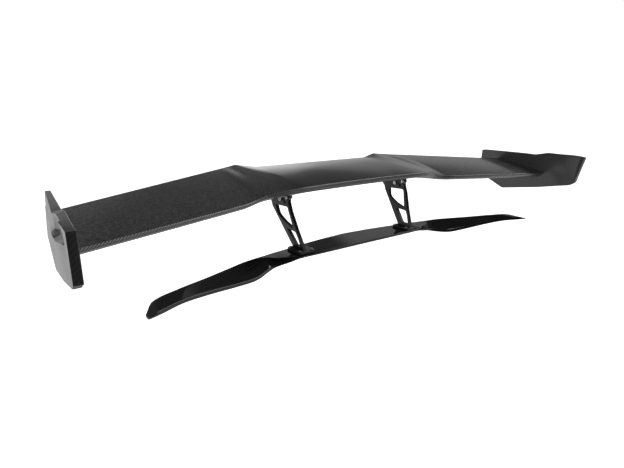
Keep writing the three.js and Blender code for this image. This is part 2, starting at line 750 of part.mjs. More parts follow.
function deckSpoiler() {
  const mirror = (row) => row.map((p) => new THREE.Vector3(-p.x, p.y, p.z));
  const rows = (build) => {
    const half = DECK_LINES.map(build);
    return [...half.slice(1).reverse().map(mirror), ...half];
  };
  let solid = sheetSolid(rows(deckTopRow), rows(deckBottomRow));
  for (const side of SIDES) {
    solid = solid.subtract(
      boxSolid(
        side.sign * FOOT.x - FOOT.wide / 2,
        side.sign * FOOT.x + FOOT.wide / 2,
        FOOT.y - FOOT.long / 2 + 1,
        FOOT.y + FOOT.long / 2,
        -5,
        PLATE_THICK + GAP,
      ),
    );
    for (const hole of FOOT_HOLES) {
      solid = solid.subtract(rodAlongZ(FOOT_BOLT_R + GAP, -10, 20, side.sign * hole.x, hole.y));
    }
  }
  return solid;
}

// ---- endplate -----------------------------------------------------------------------------------
// Top and bottom edges from front to rear, with the plate's thickness there. The plate is the surface
// between them, and a point on it is a fraction along its length and a fraction up its height.
const PLATE_TOP = [
  { x: 0, y: -324, z: 257, thick: 15 },
  { x: 0.05, y: -300, z: 261, thick: 16.5 },
  { x: 0.14, y: -262, z: 263, thick: 19.5 },
  { x: 0.33, y: -182, z: 263, thick: 20 },
  { x: 0.44, y: -130, z: 252.5, thick: 20 },
  { x: 0.97, y: 117, z: 254, thick: 13 },
  { x: 1, y: 123, z: 250, thick: 12 },
];
const PLATE_BOTTOM = [
  { x: 0, y: -302, z: 156, thick: 15.5 },
  { x: 0.05, y: -284, z: 143, thick: 16.5 },
  { x: 0.33, y: -160, z: 117, thick: 21 },
  { x: 0.7, y: 2, z: 90, thick: 24 },
  { x: 0.97, y: 118, z: 143, thick: 24 },
  { x: 1, y: 125, z: 150, thick: 22 },
];
// Height of the outer face's crease: the floor of the scoop and the top of the thick lower part.
const CREASE = [
  { x: 0, up: 0.716 },
  { x: 0.12, up: 0.716 },
  { x: 0.26, up: 0.7 },
  { x: 0.43, up: 0.76 },
  { x: 0.64, up: 0.71 },
  { x: 1, up: 0.66 },
];
// How deep the outer face lies behind its lower part, just above the crease.
const SCOOP_FRONT = 0.055;
const SCOOP_DEPTH = [
  { x: 0, deep: 9 },
  { x: 0.23, deep: 9 },
  { x: 0.4, deep: 1.5 },
  { x: 1, deep: 1 },
];
const SCOOP_LEDGE = 0.18; // share of the height above the crease that the scoop's ledge takes
const EDGE = 1.5; // rounding of the plate's edges
const PLATE_COLUMNS = [
  0, 0.01, 0.055, 0.075, 0.11, 0.15, 0.23, 0.33, 0.4, 0.44, 0.52, 0.6, 0.7, 0.8, 0.9, 0.97, 0.99, 1,
];
const ROWS_BELOW_CREASE = [0, 0.03, 0.35, 0.7, 1];
const ROWS_ABOVE_CREASE = [0.06, SCOOP_LEDGE, 0.55, 0.93, 1];

const plateValue = (stations, key, along) => straightThrough(stations, key)(along);
const creaseUp = (along) => plateValue(CREASE, "up", along);

function scoopDepth(along, up) {
  const above = (up - creaseUp(along)) / (1 - creaseUp(along));
  if (above <= 0) return 0;
  const front = SCOOP_FRONT + 0.085 * Math.max(0, (above - 0.35) / 0.65) ** 2;
  const opened = THREE.MathUtils.smoothstep(along, front, front + 0.02);
  const ledge = 1 - (1 - Math.min(above / SCOOP_LEDGE, 1)) ** 2.5;
  const flare = 1 - 0.8 * Math.max(0, (above - SCOOP_LEDGE) / (1 - SCOOP_LEDGE));
  return plateValue(SCOOP_DEPTH, "deep", along) * opened * ledge * flare;
}

function endplate() {
  const rows = (along) => [
    ...ROWS_BELOW_CREASE.map((share) => share * creaseUp(along)),
    ...ROWS_ABOVE_CREASE.map((share) => blend(creaseUp(along), 1, share)),
  ];
  const face = (depth) =>
    PLATE_COLUMNS.map((along) =>
      rows(along).map((up) => {
        const edge = (key) =>
          blend(plateValue(PLATE_BOTTOM, key, along), plateValue(PLATE_TOP, key, along), up);
        return new THREE.Vector3(TIP_X + depth(along, up), edge("y"), edge("z"));
      }),
    );
  const onRim = (along, up) => Math.min(along, 1 - along, up, 1 - up) === 0;
  const outer = (along, up) => {
    const top = plateValue(PLATE_TOP, "thick", along);
    const bottom = plateValue(PLATE_BOTTOM, "thick", along);
    const body = blend(top, bottom, (1 - up) ** 0.8);
    return body - scoopDepth(along, up) - (onRim(along, up) ? EDGE : 0);
  };
  const inner = (along, up) => {
    const bead = FRONT_BEAD * (1 - THREE.MathUtils.smoothstep(along, 0.05, 0.25));
    return GAP - bead + (onRim(along, up) ? EDGE : 0);
  };
  let solid = sheetSolid(face(outer), face(inner));
  for (const dowel of DOWELS) {
    solid = solid.subtract(rodAlongX(DOWEL_R + GAP, TIP_X - 5, TIP_X + 6 + GAP, dowel.y, dowel.z));
  }
  return solid;
}

const DOWEL_R = 4;
const DOWELS = [
  { name: "front", y: -110, z: 183 },
  { name: "rear", y: -60, z: 192 },
];

// ---- assembly -----------------------------------------------------------------------------------
function addWing() {
  let lower = lowerSkin();
  for (const side of SIDES) {
    for (const hole of BRACKET_HOLES) {
      lower = lower.subtract(rodAlongZ(SCREW_R + GAP, 180, 222, side.sign * hole.x, hole.y));
    }
  }
  addPiece("wing_upper_skin", upperSkin(), "satinCarbon");
  addPiece("wing_lower_skin", lower, "glossCarbon");
  addPiece("front_spar", spar(FRONT_SPAR_AT), "core");
  addPiece("rear_spar", spar(REAR_SPAR_AT), "core");
  for (const side of SIDES) {
    const block = hardpoint();
    const bracket = wingBracket();
    let rib = tipRib();
    for (const dowel of DOWELS) {
      rib = rib.subtract(rodAlongX(DOWEL_R + GAP, TIP_X - 20, TIP_X + 5, dowel.y, dowel.z));
    }
    addPiece(`tip_rib_${side.name}`, forSide(side, rib), "core");
    addPiece(`hardpoint_${side.name}`, forSide(side, block), "anodised");
    addPiece(`wing_bracket_${side.name}`, forSide(side, bracket), "anodised");
    addPiece(`endplate_${side.name}`, forSide(side, endplate()), "moulded");
    for (const dowel of DOWELS) {
      const pin = rodAlongX(DOWEL_R, TIP_X - RIB_THICK, TIP_X + 6, dowel.y, dowel.z);
      addPiece(`endplate_dowel_${side.name}_${dowel.name}`, forSide(side, pin), "steel");
    }
  }
}

function addBracketScrews(side) {
  BRACKET_HOLES.forEach((hole, i) => {
    const geometry = geometryOf(socketBolt(SCREW_R, SCREW_HEAD_R, 3, 22));
    geometry.rotateX(Math.PI).translate(hole.x, hole.y, hole.seat - GAP);
    addPiece(`bracket_screw_${side.name}_${i + 1}`, forSide(side, solidOf(geometry)), "steel");
  });
}

function addJointHardware(side) {
  const cheek = PYLON_HEAD_X + PYLON_THICK / 2 + GAP;
  const backCheek = PYLON_HEAD_X - PYLON_THICK / 2 - GAP;
  const nutThick = 5;
  const through = PYLON_THICK + 2 * GAP + nutThick + 2;
  const pivotBolt = pointAlongX(socketBolt(PIVOT_BOLT_R, 7, 4.5, through), cheek, PIVOT.y, PIVOT.z);
  const adjusterBolt = pointAlongX(
    socketBolt(ADJUSTER_BOLT_R, 5.5, 4, through),
    cheek,
    ADJUSTER.y,
    ADJUSTER.z,
  );
  const nutAt = (place, boltR, acrossFlats) => {
    const nut = hexNut(boltR + GAP, acrossFlats, nutThick);
    return pointAlongMinusX(nut, backCheek, place.y, place.z);
  };
  const pivotNut = nutAt(PIVOT, PIVOT_BOLT_R, 13);
  const adjusterNut = nutAt(ADJUSTER, ADJUSTER_BOLT_R, 10);
  const tongueInner = PYLON_HEAD_X - TONGUE_THICK / 2;
  const tongueOuter = PYLON_HEAD_X + TONGUE_THICK / 2;
  const bore = rodAlongX(PIVOT_BOLT_R + GAP, tongueInner - 1, tongueOuter + 1, PIVOT.y, PIVOT.z);
  const bush = rodAlongX(BUSH_R, tongueInner, tongueOuter, PIVOT.y, PIVOT.z).subtract(bore);
  addPiece(`pivot_bolt_${side.name}`, forSide(side, pivotBolt), "steel");
  addPiece(`pivot_nut_${side.name}`, forSide(side, pivotNut), "steel");
  addPiece(`pivot_bush_${side.name}`, forSide(side, bush), "steel");
  addPiece(`adjuster_bolt_${side.name}`, forSide(side, adjusterBolt), "steel");
  addPiece(`adjuster_nut_${side.name}`, forSide(side, adjusterNut), "steel");
}

function addFoot(side) {
  const foot = DECK_TOP + FOOT.gasket + GAP;
  let gasket = flatSolid(footPlate(), FOOT.x, FOOT.y, DECK_TOP + GAP, DECK_TOP + FOOT.gasket);
  let backing = boxSolid(
    FOOT.x - FOOT.wide / 2 + GAP,
    FOOT.x + FOOT.wide / 2 - GAP,
    FOOT.y - FOOT.long / 2 + 1 + GAP,
    FOOT.y + FOOT.long / 2 - GAP,
    0,
    PLATE_THICK,
  );
  for (const hole of FOOT_HOLES) {
    const bore = rodAlongZ(FOOT_BOLT_R + GAP, -10, 30, hole.x, hole.y);
    gasket = gasket.subtract(bore);
    backing = backing.subtract(bore);
  }
  addPiece(`foot_gasket_${side.name}`, forSide(side, gasket), "rubber");
  addPiece(`backing_plate_${side.name}`, forSide(side, backing), "steel");
  addPiece(`pylon_${side.name}`, forSide(side, pylon()), "anodised");
  FOOT_HOLES.forEach((hole, i) => {
    const top = foot + FOOT.thick + GAP;
    const geometry = geometryOf(socketBolt(FOOT_BOLT_R, FOOT_BOLT_HEAD_R, 3.5, top - 0.2));
    geometry.translate(hole.x, hole.y, top);
    addPiece(`foot_bolt_${side.name}_${i + 1}`, forSide(side, solidOf(geometry)), "steel");
  });
}

addPiece("deck_spoiler", deckSpoiler(), "glossCarbon");
for (const side of SIDES) {
  addFoot(side);
  addJointHardware(side);
  addBracketScrews(side);
}
addWing();

export default object;
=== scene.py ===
"""Looks of the racing rear wing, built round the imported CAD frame.

The shapes below are written in millimetres in the CAD frame: X across the car, Y rearward, Z up.
Meshes are turned into metres as they are made. Right-hand pieces are built and mirrored.
"""

import json
import math

import bmesh
import bpy
import numpy as np
from mathutils import Matrix, Vector


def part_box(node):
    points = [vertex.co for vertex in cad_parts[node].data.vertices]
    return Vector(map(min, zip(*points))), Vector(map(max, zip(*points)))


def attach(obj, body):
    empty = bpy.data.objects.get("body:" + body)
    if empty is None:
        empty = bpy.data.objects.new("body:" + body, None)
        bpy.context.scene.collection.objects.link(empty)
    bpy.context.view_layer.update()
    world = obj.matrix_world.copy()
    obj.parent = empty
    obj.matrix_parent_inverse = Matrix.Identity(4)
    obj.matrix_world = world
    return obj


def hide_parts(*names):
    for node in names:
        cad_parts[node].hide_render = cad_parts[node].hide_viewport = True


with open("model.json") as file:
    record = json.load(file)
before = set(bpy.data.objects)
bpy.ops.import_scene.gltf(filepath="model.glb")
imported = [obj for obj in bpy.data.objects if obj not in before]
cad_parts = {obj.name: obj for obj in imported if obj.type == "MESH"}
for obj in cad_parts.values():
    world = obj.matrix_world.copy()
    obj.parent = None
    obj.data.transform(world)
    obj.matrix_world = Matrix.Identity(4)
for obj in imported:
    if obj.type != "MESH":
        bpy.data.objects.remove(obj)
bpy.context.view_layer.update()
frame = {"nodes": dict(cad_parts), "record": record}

MM = 0.001
SIDES = {"left": -1, "right": 1}

# ---- driving dimensions, millimetres ------------------------------------------------------------
GAP = 0.3
TIP_X = 875
SKIN = 1.6
BELLY_CENTRE, BELLY_TIP = 16, 6
CROWN_CENTRE, CROWN_TIP = 8, 2
FOLD_Y = 80
FACET_START_Y = 110
CREASE_RADIUS = 5  # half width over which a fold of the skin is rounded
CREASE_STEP = 3  # spacing of the rows between the folds
SHOULDER = 2.4  # radius of the nose band's top edge
SEAM = SHOULDER + GAP  # where the upper skin starts behind the crest

PYLON_THICK = 12
PYLON_FOOT_X, PYLON_HEAD_X = 238, 256
PYLON_BEND_Z = 136
PYLON_EDGE = 0.9  # rounding of a pylon's edges
PIVOT = (65, 167)
ADJUSTER = (27, 177)
TILT_UP, TILT_DOWN = 8, 4
PIVOT_BORE, SLOT_HALF = 4.4, 3.3
TONGUE_THICK = 4.4

FOOT_X, FOOT_Y = 235, -9
FOOT_WIDE, FOOT_LONG, FOOT_THICK = 60, 76, 6
FOOT_CHAMFER, FOOT_CORNER = 6, 1.5
FOOT_EDGE, GASKET_EDGE = 0.8, 0.3
FOOT_BOLT_SPREAD = (21, 28)
FOOT_BOLTS = [(a * FOOT_BOLT_SPREAD[0], b * FOOT_BOLT_SPREAD[1]) for a in (-1, 1) for b in (-1, 1)]
FOOT_BORE = 3.3
DECK_TOP, GASKET = 8, 1.5
FOOT_Z = DECK_TOP + GASKET + GAP
FRONT_BAND_CENTRE, FRONT_BAND_OUTER = 8, 10
DECK_WALL = 5

PLATE_LONG = 440  # of an endplate
FRONT_BEAD = 2  # how far an endplate's front edge swells in, ahead of the wing
EDGE_RADIUS = 1.8  # rounding of an endplate's rim
NUT_THICK, NUT_CHAMFER = 5, 0.9


# ---- curves -------------------------------------------------------------------------------------
def smooth_through(stations):
    """A smooth curve through listed (x, value) stations, as a function of x."""
    xs, values = (np.array(column, float) for column in zip(*stations))
    slopes = np.empty_like(xs)
    slopes[1:-1] = (values[2:] - values[:-2]) / (xs[2:] - xs[:-2])
    slopes[0] = (values[1] - values[0]) / (xs[1] - xs[0])
    slopes[-1] = (values[-1] - values[-2]) / (xs[-1] - xs[-2])

    def curve(x):
        i = np.clip(np.searchsorted(xs, x), 1, len(xs) - 1)
        width = xs[i] - xs[i - 1]
        t = (x - xs[i - 1]) / width
        keep = 2 * t**3 - 3 * t**2 + 1
        start = (t**3 - 2 * t**2 + t) * slopes[i - 1]
        end = (t**3 - t**2) * slopes[i]
        return keep * values[i - 1] + (1 - keep) * values[i] + width * (start + end)

    return curve


def straight_through(stations):
    xs, values = zip(*stations)
    return lambda x: np.interp(x, xs, values)


def columns(table, wrap):
    """One curve for each value column of a table whose first column is x."""
    xs = [row[0] for row in table]
    return [wrap(list(zip(xs, column))) for column in list(zip(*table))[1:]]


def runs(*spans):
    """Evenly spaced values over spans that follow on: each span is (low, high, count)."""
    pieces = [np.linspace(*span) for span in spans]
    return np.concatenate([pieces[0], *[piece[1:] for piece in pieces[1:]]])


def blend(a, b, t):
    return a + (b - a) * t


def bow(t):
    return 4 * t * (1 - t)


def smoothstep(x, low, high):
    t = np.clip((x - low) / (high - low), 0, 1)
    return t * t * (3 - 2 * t)


def rounded(corners, steps=8):
    """A closed outline whose corners are rounded: each is (y, z, radius)."""
    points = []
    for i, (y, z, radius) in enumerate(corners):
        corner = Vector((y, z))
        back = (Vector(corners[i - 1][:2]) - corner).normalized()
        ahead = (Vector(corners[(i + 1) % len(corners)][:2]) - corner).normalized()
        reach = radius / math.tan(back.angle(ahead) / 2)
        start, end = corner + back * reach, corner + ahead * reach
        for t in np.linspace(0, 1, steps if radius else 1):
            points.append(start * (1 - t) ** 2 + corner * (2 * t * (1 - t)) + end * t**2)
    return [tuple(p) for p in points]


def arc(centre, radius, start, end, steps=16):
    """Points on a circular arc, angles in degrees."""
    turn = np.radians(np.linspace(start, end, steps))
    return [(centre[0] + radius * math.cos(a), centre[1] + radius * math.sin(a)) for a in turn]


def circle(centre, radius, steps=24):
    return arc(centre, radius, 0, 360 - 360 / steps, steps)


# ---- meshes -------------------------------------------------------------------------------------
# Turns X into Y, Y into Z and Z into X, and the same turn backward.
STAND_UP = Matrix(((0, 0, 1, 0), (1, 0, 0, 0), (0, 1, 0, 0), (0, 0, 0, 1)))
LAY_FLAT = STAND_UP.transposed()


def new_object(name, mesh, sharp_degrees=35):
    """Links a mesh as an object, smooth apart from edges sharper than the given angle."""
    piece = bpy.data.objects.new(name, mesh)
    bpy.context.scene.collection.objects.link(piece)
    bm = bmesh.new()
    bm.from_mesh(mesh)
    for face in bm.faces:
        face.smooth = True
    for edge in bm.edges:
        edge.smooth = edge.calc_face_angle(math.pi) < math.radians(sharp_degrees)
    bm.to_mesh(mesh)
    bm.free()
    return piece


def mesh_from(name, points, faces, uvs=None):
    """A mesh from millimetre points. uvs, one per point and in metres, carry the weave."""
    mesh = bpy.data.meshes.new(name)
    mesh.from_pydata([tuple(p * MM) for p in np.asarray(points, float)], [], faces)
    if uvs is not None:
        layer = mesh.uv_layers.new(name="weave")
        for loop in mesh.loops:
            layer.data[loop.index].uv = uvs[loop.vertex_index]
    mesh.validate()
    return mesh


def face_out(mesh):
    bm = bmesh.new()
    bm.from_mesh(mesh)
    bmesh.ops.recalc_face_normals(bm, faces=bm.faces)
    bm.to_mesh(mesh)
    bm.free()


def surface_uv(grid):
    """Distances along the rows and columns of a grid, in metres, so that a weave keeps its scale."""
    across = np.linalg.norm(np.diff(grid, axis=0), axis=2).cumsum(0)
    along = np.linalg.norm(np.diff(grid, axis=1), axis=2).cumsum(1)
    across = np.vstack([np.zeros((1, grid.shape[1])), across])
    along = np.hstack([np.zeros((grid.shape[0], 1)), along])
    middle = across[len(across) // 2]
    return np.stack([across - middle, along], -1).reshape(-1, 2) * MM


def closed_sheet(name, outer, inner):
    """A closed sheet between two grids of points."""
    rows, cols = outer.shape[:2]
    at = np.arange(2 * rows * cols).reshape(2, rows, cols)

    def quads(a, b, c, d):
        return np.stack([a, b, c, d], -1).reshape(-1, 4).tolist()

    faces = []
    for layer in at:
        faces += quads(layer[:-1, :-1], layer[1:, :-1], layer[1:, 1:], layer[:-1, 1:])
    for edge in (at[:, :, 0], at[:, :, -1], at[:, 0, :], at[:, -1, :]):
        faces += quads(edge[0, :-1], edge[1, :-1], edge[1, 1:], edge[0, 1:])
    uv = surface_uv(outer)
    points = np.concatenate([outer.reshape(-1, 3), inner.reshape(-1, 3)])
    thick = np.linalg.norm(outer - inner, axis=2).reshape(-1, 1) * MM
    mesh = mesh_from(name, points, faces, np.concatenate([uv, uv - thick * (1, 0)]).tolist())
    face_out(mesh)
    return mesh


def plate_mesh(name, outlines, thick, edge):
    """A flat plate with rounded edges: the first outline is its rim and the rest are its holes.
    Outlines lie in Y-Z and the plate is centred on x = 0."""
    curve = bpy.data.curves.new(name, "CURVE")
    curve.dimensions = "2D"
    curve.fill_mode = "BOTH"
    curve.extrude = (thick / 2 - edge) * MM
    curve.bevel_depth = edge * MM
    curve.bevel_resolution = 2
    curve.offset = -edge * MM
    for outline in outlines:
        spline = curve.splines.new("POLY")
        spline.points.add(len(outline) - 1)
        for point, (y, z) in zip(spline.points, outline):
            point.co = (y * MM, z * MM, 0, 1)
        spline.use_cyclic_u = True
    holder = bpy.data.objects.new(name, curve)
    bpy.context.scene.collection.objects.link(holder)
    evaluated = holder.evaluated_get(bpy.context.evaluated_depsgraph_get())
    mesh = bpy.data.meshes.new_from_object(evaluated)
    bpy.data.objects.remove(holder)
    mesh.transform(STAND_UP)
    weld(mesh)
    return mesh


def weld(mesh, distance=0.00002):
    bm = bmesh.new()
    bm.from_mesh(mesh)
    bmesh.ops.remove_doubles(bm, verts=bm.verts, dist=distance)
    bmesh.ops.recalc_face_normals(bm, faces=bm.faces)
    bm.to_mesh(mesh)
    bm.free()


def join_meshes(name, meshes):
    """One mesh that holds several loose shells."""
    bm = bmesh.new()
    for mesh in meshes:
        bm.from_mesh(mesh)
    joined = bpy.data.meshes.new(name)
    bm.to_mesh(joined)
    bm.free()
    return joined


def mirrored(mesh, sign):
    """The mesh itself for the right-hand side, or its mirror image for the left."""
    copy = mesh.copy()
    if sign < 0:
        copy.transform(Matrix.Scale(-1, 4, Vector((1, 0, 0))))
        copy.flip_normals()
    return copy


def lathe(profile, sides=32):
    """A turned solid round Z from (radius, height) pairs that start and end on the axis."""
    turn = np.linspace(0, 2 * math.pi, sides, endpoint=False)
    rings = [[(r * math.cos(a), r * math.sin(a), z) for a in turn] for r, z in profile[1:-1]]
    points = [(0, 0, profile[0][1]), *[p for ring in rings for p in ring], (0, 0, profile[-1][1])]
    last = len(points) - 1
    faces = []
    for k in range(sides):
        after = (k + 1) % sides
        faces.append((0, 1 + after, 1 + k))
        for ring in range(len(rings) - 1):
            low, high = 1 + ring * sides, 1 + (ring + 1) * sides
            faces.append((low + k, low + after, high + after, high + k))
        top = 1 + (len(rings) - 1) * sides
        faces.append((top + k, top + after, last))
    return points, faces


def cut(mesh, cutter):
    """The mesh with the cutter taken out of it."""
    holders = [bpy.data.objects.new("kept", mesh), bpy.data.objects.new("cutter", cutter)]
    for holder in holders:
        bpy.context.scene.collection.objects.link(holder)
    modifier = holders[0].modifiers.new("cut", "BOOLEAN")
    modifier.object = holders[1]
    modifier.solver = "EXACT"
    evaluated = holders[0].evaluated_get(bpy.context.evaluated_depsgraph_get())
    result = bpy.data.meshes.new_from_object(evaluated)
    for holder in holders:
        bpy.data.objects.remove(holder)
    return result


def prism(outline, low_x, high_x):
    """A sharp-edged block with a Y-Z outline between two x planes."""
    count = len(outline)
    points = [(x, y, z) for x in (low_x, high_x) for y, z in outline]
    sides = [(i, (i + 1) % count, count + (i + 1) % count, count + i) for i in range(count)]
    mesh = mesh_from("prism", points, [tuple(range(count)), tuple(range(count, 2 * count)), *sides])
    face_out(mesh)
    return mesh


# ---- materials ----------------------------------------------------------------------------------
class Shader:
    """A material with one Principled shader, and short calls that add nodes to it."""

    def __init__(self, name, **values):
        self.material = bpy.data.materials.new(name)
        self.material.use_nodes = True
        self.tree = self.material.node_tree
        self.out = self.tree.nodes["Principled BSDF"]
        for socket, value in values.items():
            self.out.inputs[socket.replace("_", " ")].default_value = value

    def node(self, kind, inputs=(), **settings):
        made = self.tree.nodes.new(kind)
        for key, value in settings.items():
            setattr(made, key, value)
        for key, value in dict(inputs).items():
            self.feed(made.inputs[key], value)
        return made

    def feed(self, socket, value):
        if isinstance(value, bpy.types.NodeSocket):
            self.tree.links.new(value, socket)
        else:
            socket.default_value = value

    def math(self, operation, *values):
        made = self.node("ShaderNodeMath", dict(enumerate(values)), operation=operation)
        return made.outputs[0]

    def object_place(self):
        return self.node("ShaderNodeTexCoord").outputs["Object"]

    def noise(self, scale, detail, roughness=0.5):
        inputs = {"Scale": scale, "Detail": detail, "Roughness": roughness}
        inputs["Vector"] = self.object_place()
        return self.node("ShaderNodeTexNoise", inputs).outputs["Fac"]

    def ramp(self, factor, low, high, from_min=0.0, from_max=1.0):
        inputs = {"Value": factor, "From Min": from_min, "From Max": from_max}
        inputs.update({"To Min": low, "To Max": high})
        return self.node("ShaderNodeMapRange", inputs).outputs["Result"]

    def mix(self, factor, a, b):
        made = self.node("ShaderNodeMix", data_type="RGBA")
        self.feed(made.inputs[0], factor)
        self.feed(made.inputs[6], a)
        self.feed(made.inputs[7], b)
        return made.outputs[2]

    def bump(self, height, strength, distance):
        inputs = {"Height": height, "Strength": strength, "Distance": distance}
        return self.node("ShaderNodeBump", inputs).outputs["Normal"]

    def set(self, **sockets):
        for key, value in sockets.items():
            self.feed(self.out.inputs[key.replace("_", " ")], value)


def grey(value, tint=1.0):
    return (value, value, value * tint, 1)


def twill(shader, tow):
    """A 2 by 2 twill of tows this wide: whether the warp is on top, and how high the cloth stands."""
    weave = shader.node("ShaderNodeUVMap", uv_map="weave").outputs["UV"]
    split = shader.node("ShaderNodeSeparateXYZ", {"Vector": weave})
    u = shader.math("DIVIDE", split.outputs["X"], tow)
    v = shader.math("DIVIDE", split.outputs["Y"], tow)
    diagonal = shader.math("ADD", shader.math("FLOOR", u), shader.math("FLOOR", v))
    warp_up = shader.math("LESS_THAN", shader.math("FLOORED_MODULO", diagonal, 4.0), 2.0)

    def crown(coordinate):
        offset = shader.math("SUBTRACT", shader.math("FRACT", coordinate), 0.5)
        return shader.math("SUBTRACT", 1.0, shader.math("MULTIPLY", offset, offset))

    across = shader.math("MULTIPLY", warp_up, crown(u))
    along = shader.math("MULTIPLY", shader.math("SUBTRACT", 1.0, warp_up), crown(v))
    return warp_up, shader.math("ADD", across, along)


WEAVE_TINT = 1.04
OUTER_PAINTED_LIGHT_RAMP = (0.27, 0.33)  # metres from the middle, over which the painted light of the outer panels comes in


def carbon(
    name, dark, light, roughness, coat, coat_roughness, relief,
    tow=0.003, grain=0.0, specular=0.2, outer=1.0,
):
    """Clear-coated carbon cloth; its lighter tows are partly a painted sheen. outer is how much
    lighter the outer panels and the facets beside them are painted: painted light that stands in for
    how light falls on them.
    """
    shader = Shader(
        name,
        Coat_Weight=coat,
        Coat_Roughness=coat_roughness,
        Coat_IOR=1.5,
        Specular_IOR_Level=specular,
    )
    warp_up, height = twill(shader, tow)
    fibres = shader.noise(170, 4, roughness=0.65)
    cloud = shader.noise(6, 2)
    # The tows of the twill take a dark and a light base colour: a real pattern, with the lighter tows
    # also a painted sheen for the light they catch.
    cloth = shader.mix(warp_up, grey(dark, WEAVE_TINT), grey(light, WEAVE_TINT))
    strands_and_painted_light = shader.mix(shader.ramp(fibres, 0.0, 0.5), cloth, grey(light * 1.3))
    # Painted light: on the outer panels and facets the base colour is scaled up, standing in for how
    # light falls on them.
    if outer > 1:
        place = shader.node("ShaderNodeSeparateXYZ", {"Vector": shader.object_place()})
        outer_painted_light = shader.ramp(shader.math("ABSOLUTE", place.outputs["X"]), 1.0, outer, *OUTER_PAINTED_LIGHT_RAMP)
        outer_painted_light = shader.math("MULTIPLY", outer_painted_light, shader.ramp(fibres, 0.2, 1.8, 0.36, 0.64))
        inputs = {0: strands_and_painted_light, "Scale": outer_painted_light}
        strands_and_painted_light = shader.node("ShaderNodeVectorMath", inputs, operation="SCALE").outputs["Vector"]
    sheen = shader.math("ADD", shader.math("MULTIPLY", warp_up, 0.5), cloud)
    standing = shader.math("ADD", height, shader.math("MULTIPLY", fibres, grain))
    shader.set(
        Base_Color=strands_and_painted_light,
        Roughness=shader.ramp(sheen, roughness * 0.9, roughness * 1.1, 0.3, 1.2),
        Normal=shader.bump(standing, relief, 0.0004),
    )
    return shader.material


def satin_carbon():
    """The wing's upper skin: satin lacquer over a grainy cloth, with its outer panels and facets
    painted lighter as painted light.
    """
    return carbon(
        "satin_carbon", dark=0.004, light=0.008, roughness=0.32, coat=0.85, coat_roughness=0.13,
        relief=0.05, grain=3.0, specular=0.5, outer=8.0,
    )


def nose_carbon():
    """The band along the leading edge and the underside: a finer twill whose lighter tows are painted
    with a bright sheen, so that it shows plainly.
    """
    return carbon(
        "nose_carbon", dark=0.003, light=0.26, roughness=0.28, coat=0.7, coat_roughness=0.06,
        relief=0.6, tow=0.002,
    )


def deck_carbon():
    """The lip on the boot lid: near black under a clear gloss."""
    return carbon(
        "deck_carbon", dark=0.002, light=0.004, roughness=0.7, coat=0.85, coat_roughness=0.03,
        relief=0.05, specular=0.1,
    )


def shell_carbon():
    """The endplates: satin lacquer over a greyer cloth."""
    return carbon(
        "shell_carbon", dark=0.031, light=0.054, roughness=0.32, coat=0.65, coat_roughness=0.12,
        relief=0.08,
    )


def anodised():
    """Bead-blasted aluminium under a satin black anodised film, with a painted highlight: its sharp
    edges are painted a lighter grey.
    """
    shader = Shader("anodised_black", Metallic=0.55, Specular_IOR_Level=0.5)
    grain = shader.noise(1400, 2)
    cloud = shader.noise(30, 4)
    edge_highlight_pointiness = shader.node("ShaderNodeNewGeometry").outputs["Pointiness"]
    # Painted highlight: sharp edges, found by their pointiness, take a lighter grey.
    edge = shader.ramp(edge_highlight_pointiness, 0.0, 1.0, 0.52, 0.6)
    body = shader.mix(cloud, grey(0.02), grey(0.04))
    shader.set(
        Base_Color=shader.mix(shader.math("MULTIPLY", edge, cloud), body, grey(0.25)),
        Roughness=shader.ramp(cloud, 0.24, 0.38),
        Normal=shader.bump(grain, 0.25, 0.0002),
    )
    return shader.material


def steel():
    """Zinc-plated steel."""
    shader = Shader("zinc_steel", Metallic=1.0)
    cloud = shader.noise(220, 3)
    shader.set(
        Base_Color=shader.mix(cloud, grey(0.42, 1.02), grey(0.7, 1.03)),
        Roughness=shader.ramp(cloud, 0.2, 0.38),
        Normal=shader.bump(shader.noise(1500, 2), 0.1, 0.0001),
    )
    return shader.material


def rubber():
    shader = Shader("rubber_sheet", Specular_IOR_Level=0.3)
    speck = shader.noise(800, 3)
    shader.set(
        Base_Color=shader.mix(speck, grey(0.012), grey(0.03)),
        Roughness=shader.ramp(speck, 0.7, 0.9),
        Normal=shader.bump(speck, 0.3, 0.0002),
    )
    return shader.material


def laminate():
    """Bare inner laminate of the spars and ribs."""
    shader = Shader("bare_laminate", Specular_IOR_Level=0.3)
    cloud = shader.noise(60, 4)
    shader.set(
        Base_Color=shader.mix(cloud, (0.05, 0.047, 0.04, 1), (0.1, 0.092, 0.075, 1)),
        Roughness=shader.ramp(cloud, 0.55, 0.8),
        Normal=shader.bump(shader.noise(700, 2), 0.2, 0.0003),
    )
    return shader.material


MATERIALS = {
    "carbon_satin": satin_carbon(),
    "carbon_nose": nose_carbon(),
    "carbon_gloss": deck_carbon(),
    "endplate_shell": shell_carbon(),
    "anodised_black": anodised(),
    "steel_fastener": steel(),
    "rubber_gasket": rubber(),
    "structural_core": laminate(),
}
SLOT_OF = {part["node"]: part["material_slot"] for part in frame["record"]["subparts"]}
BODIES = frame["record"]["behaviour"]["bodies"]
BODY_OF = {node: body for body, nodes in BODIES.items() for node in nodes}


def finish_with(piece, slot):
    piece.data.materials.clear()
    piece.data.materials.append(MATERIALS[slot])


def stand_for(name, mesh, node, body, sharp_degrees=35):
    """Makes a piece that takes a CAD node's place, finish and body."""
    piece = new_object(name, mesh, sharp_degrees)
    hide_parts(node)
    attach(piece, body)
    finish_with(piece, SLOT_OF[node])
    return piece


def flat_shaded(piece):
    """Keeps the shading of a rounded edge out of the broad flat faces beside it."""
    piece.modifiers.new("flat_faces", "WEIGHTED_NORMAL").keep_sharp = True


for node, cad_object in frame["nodes"].items():
    finish_with(cad_object, SLOT_OF[node])


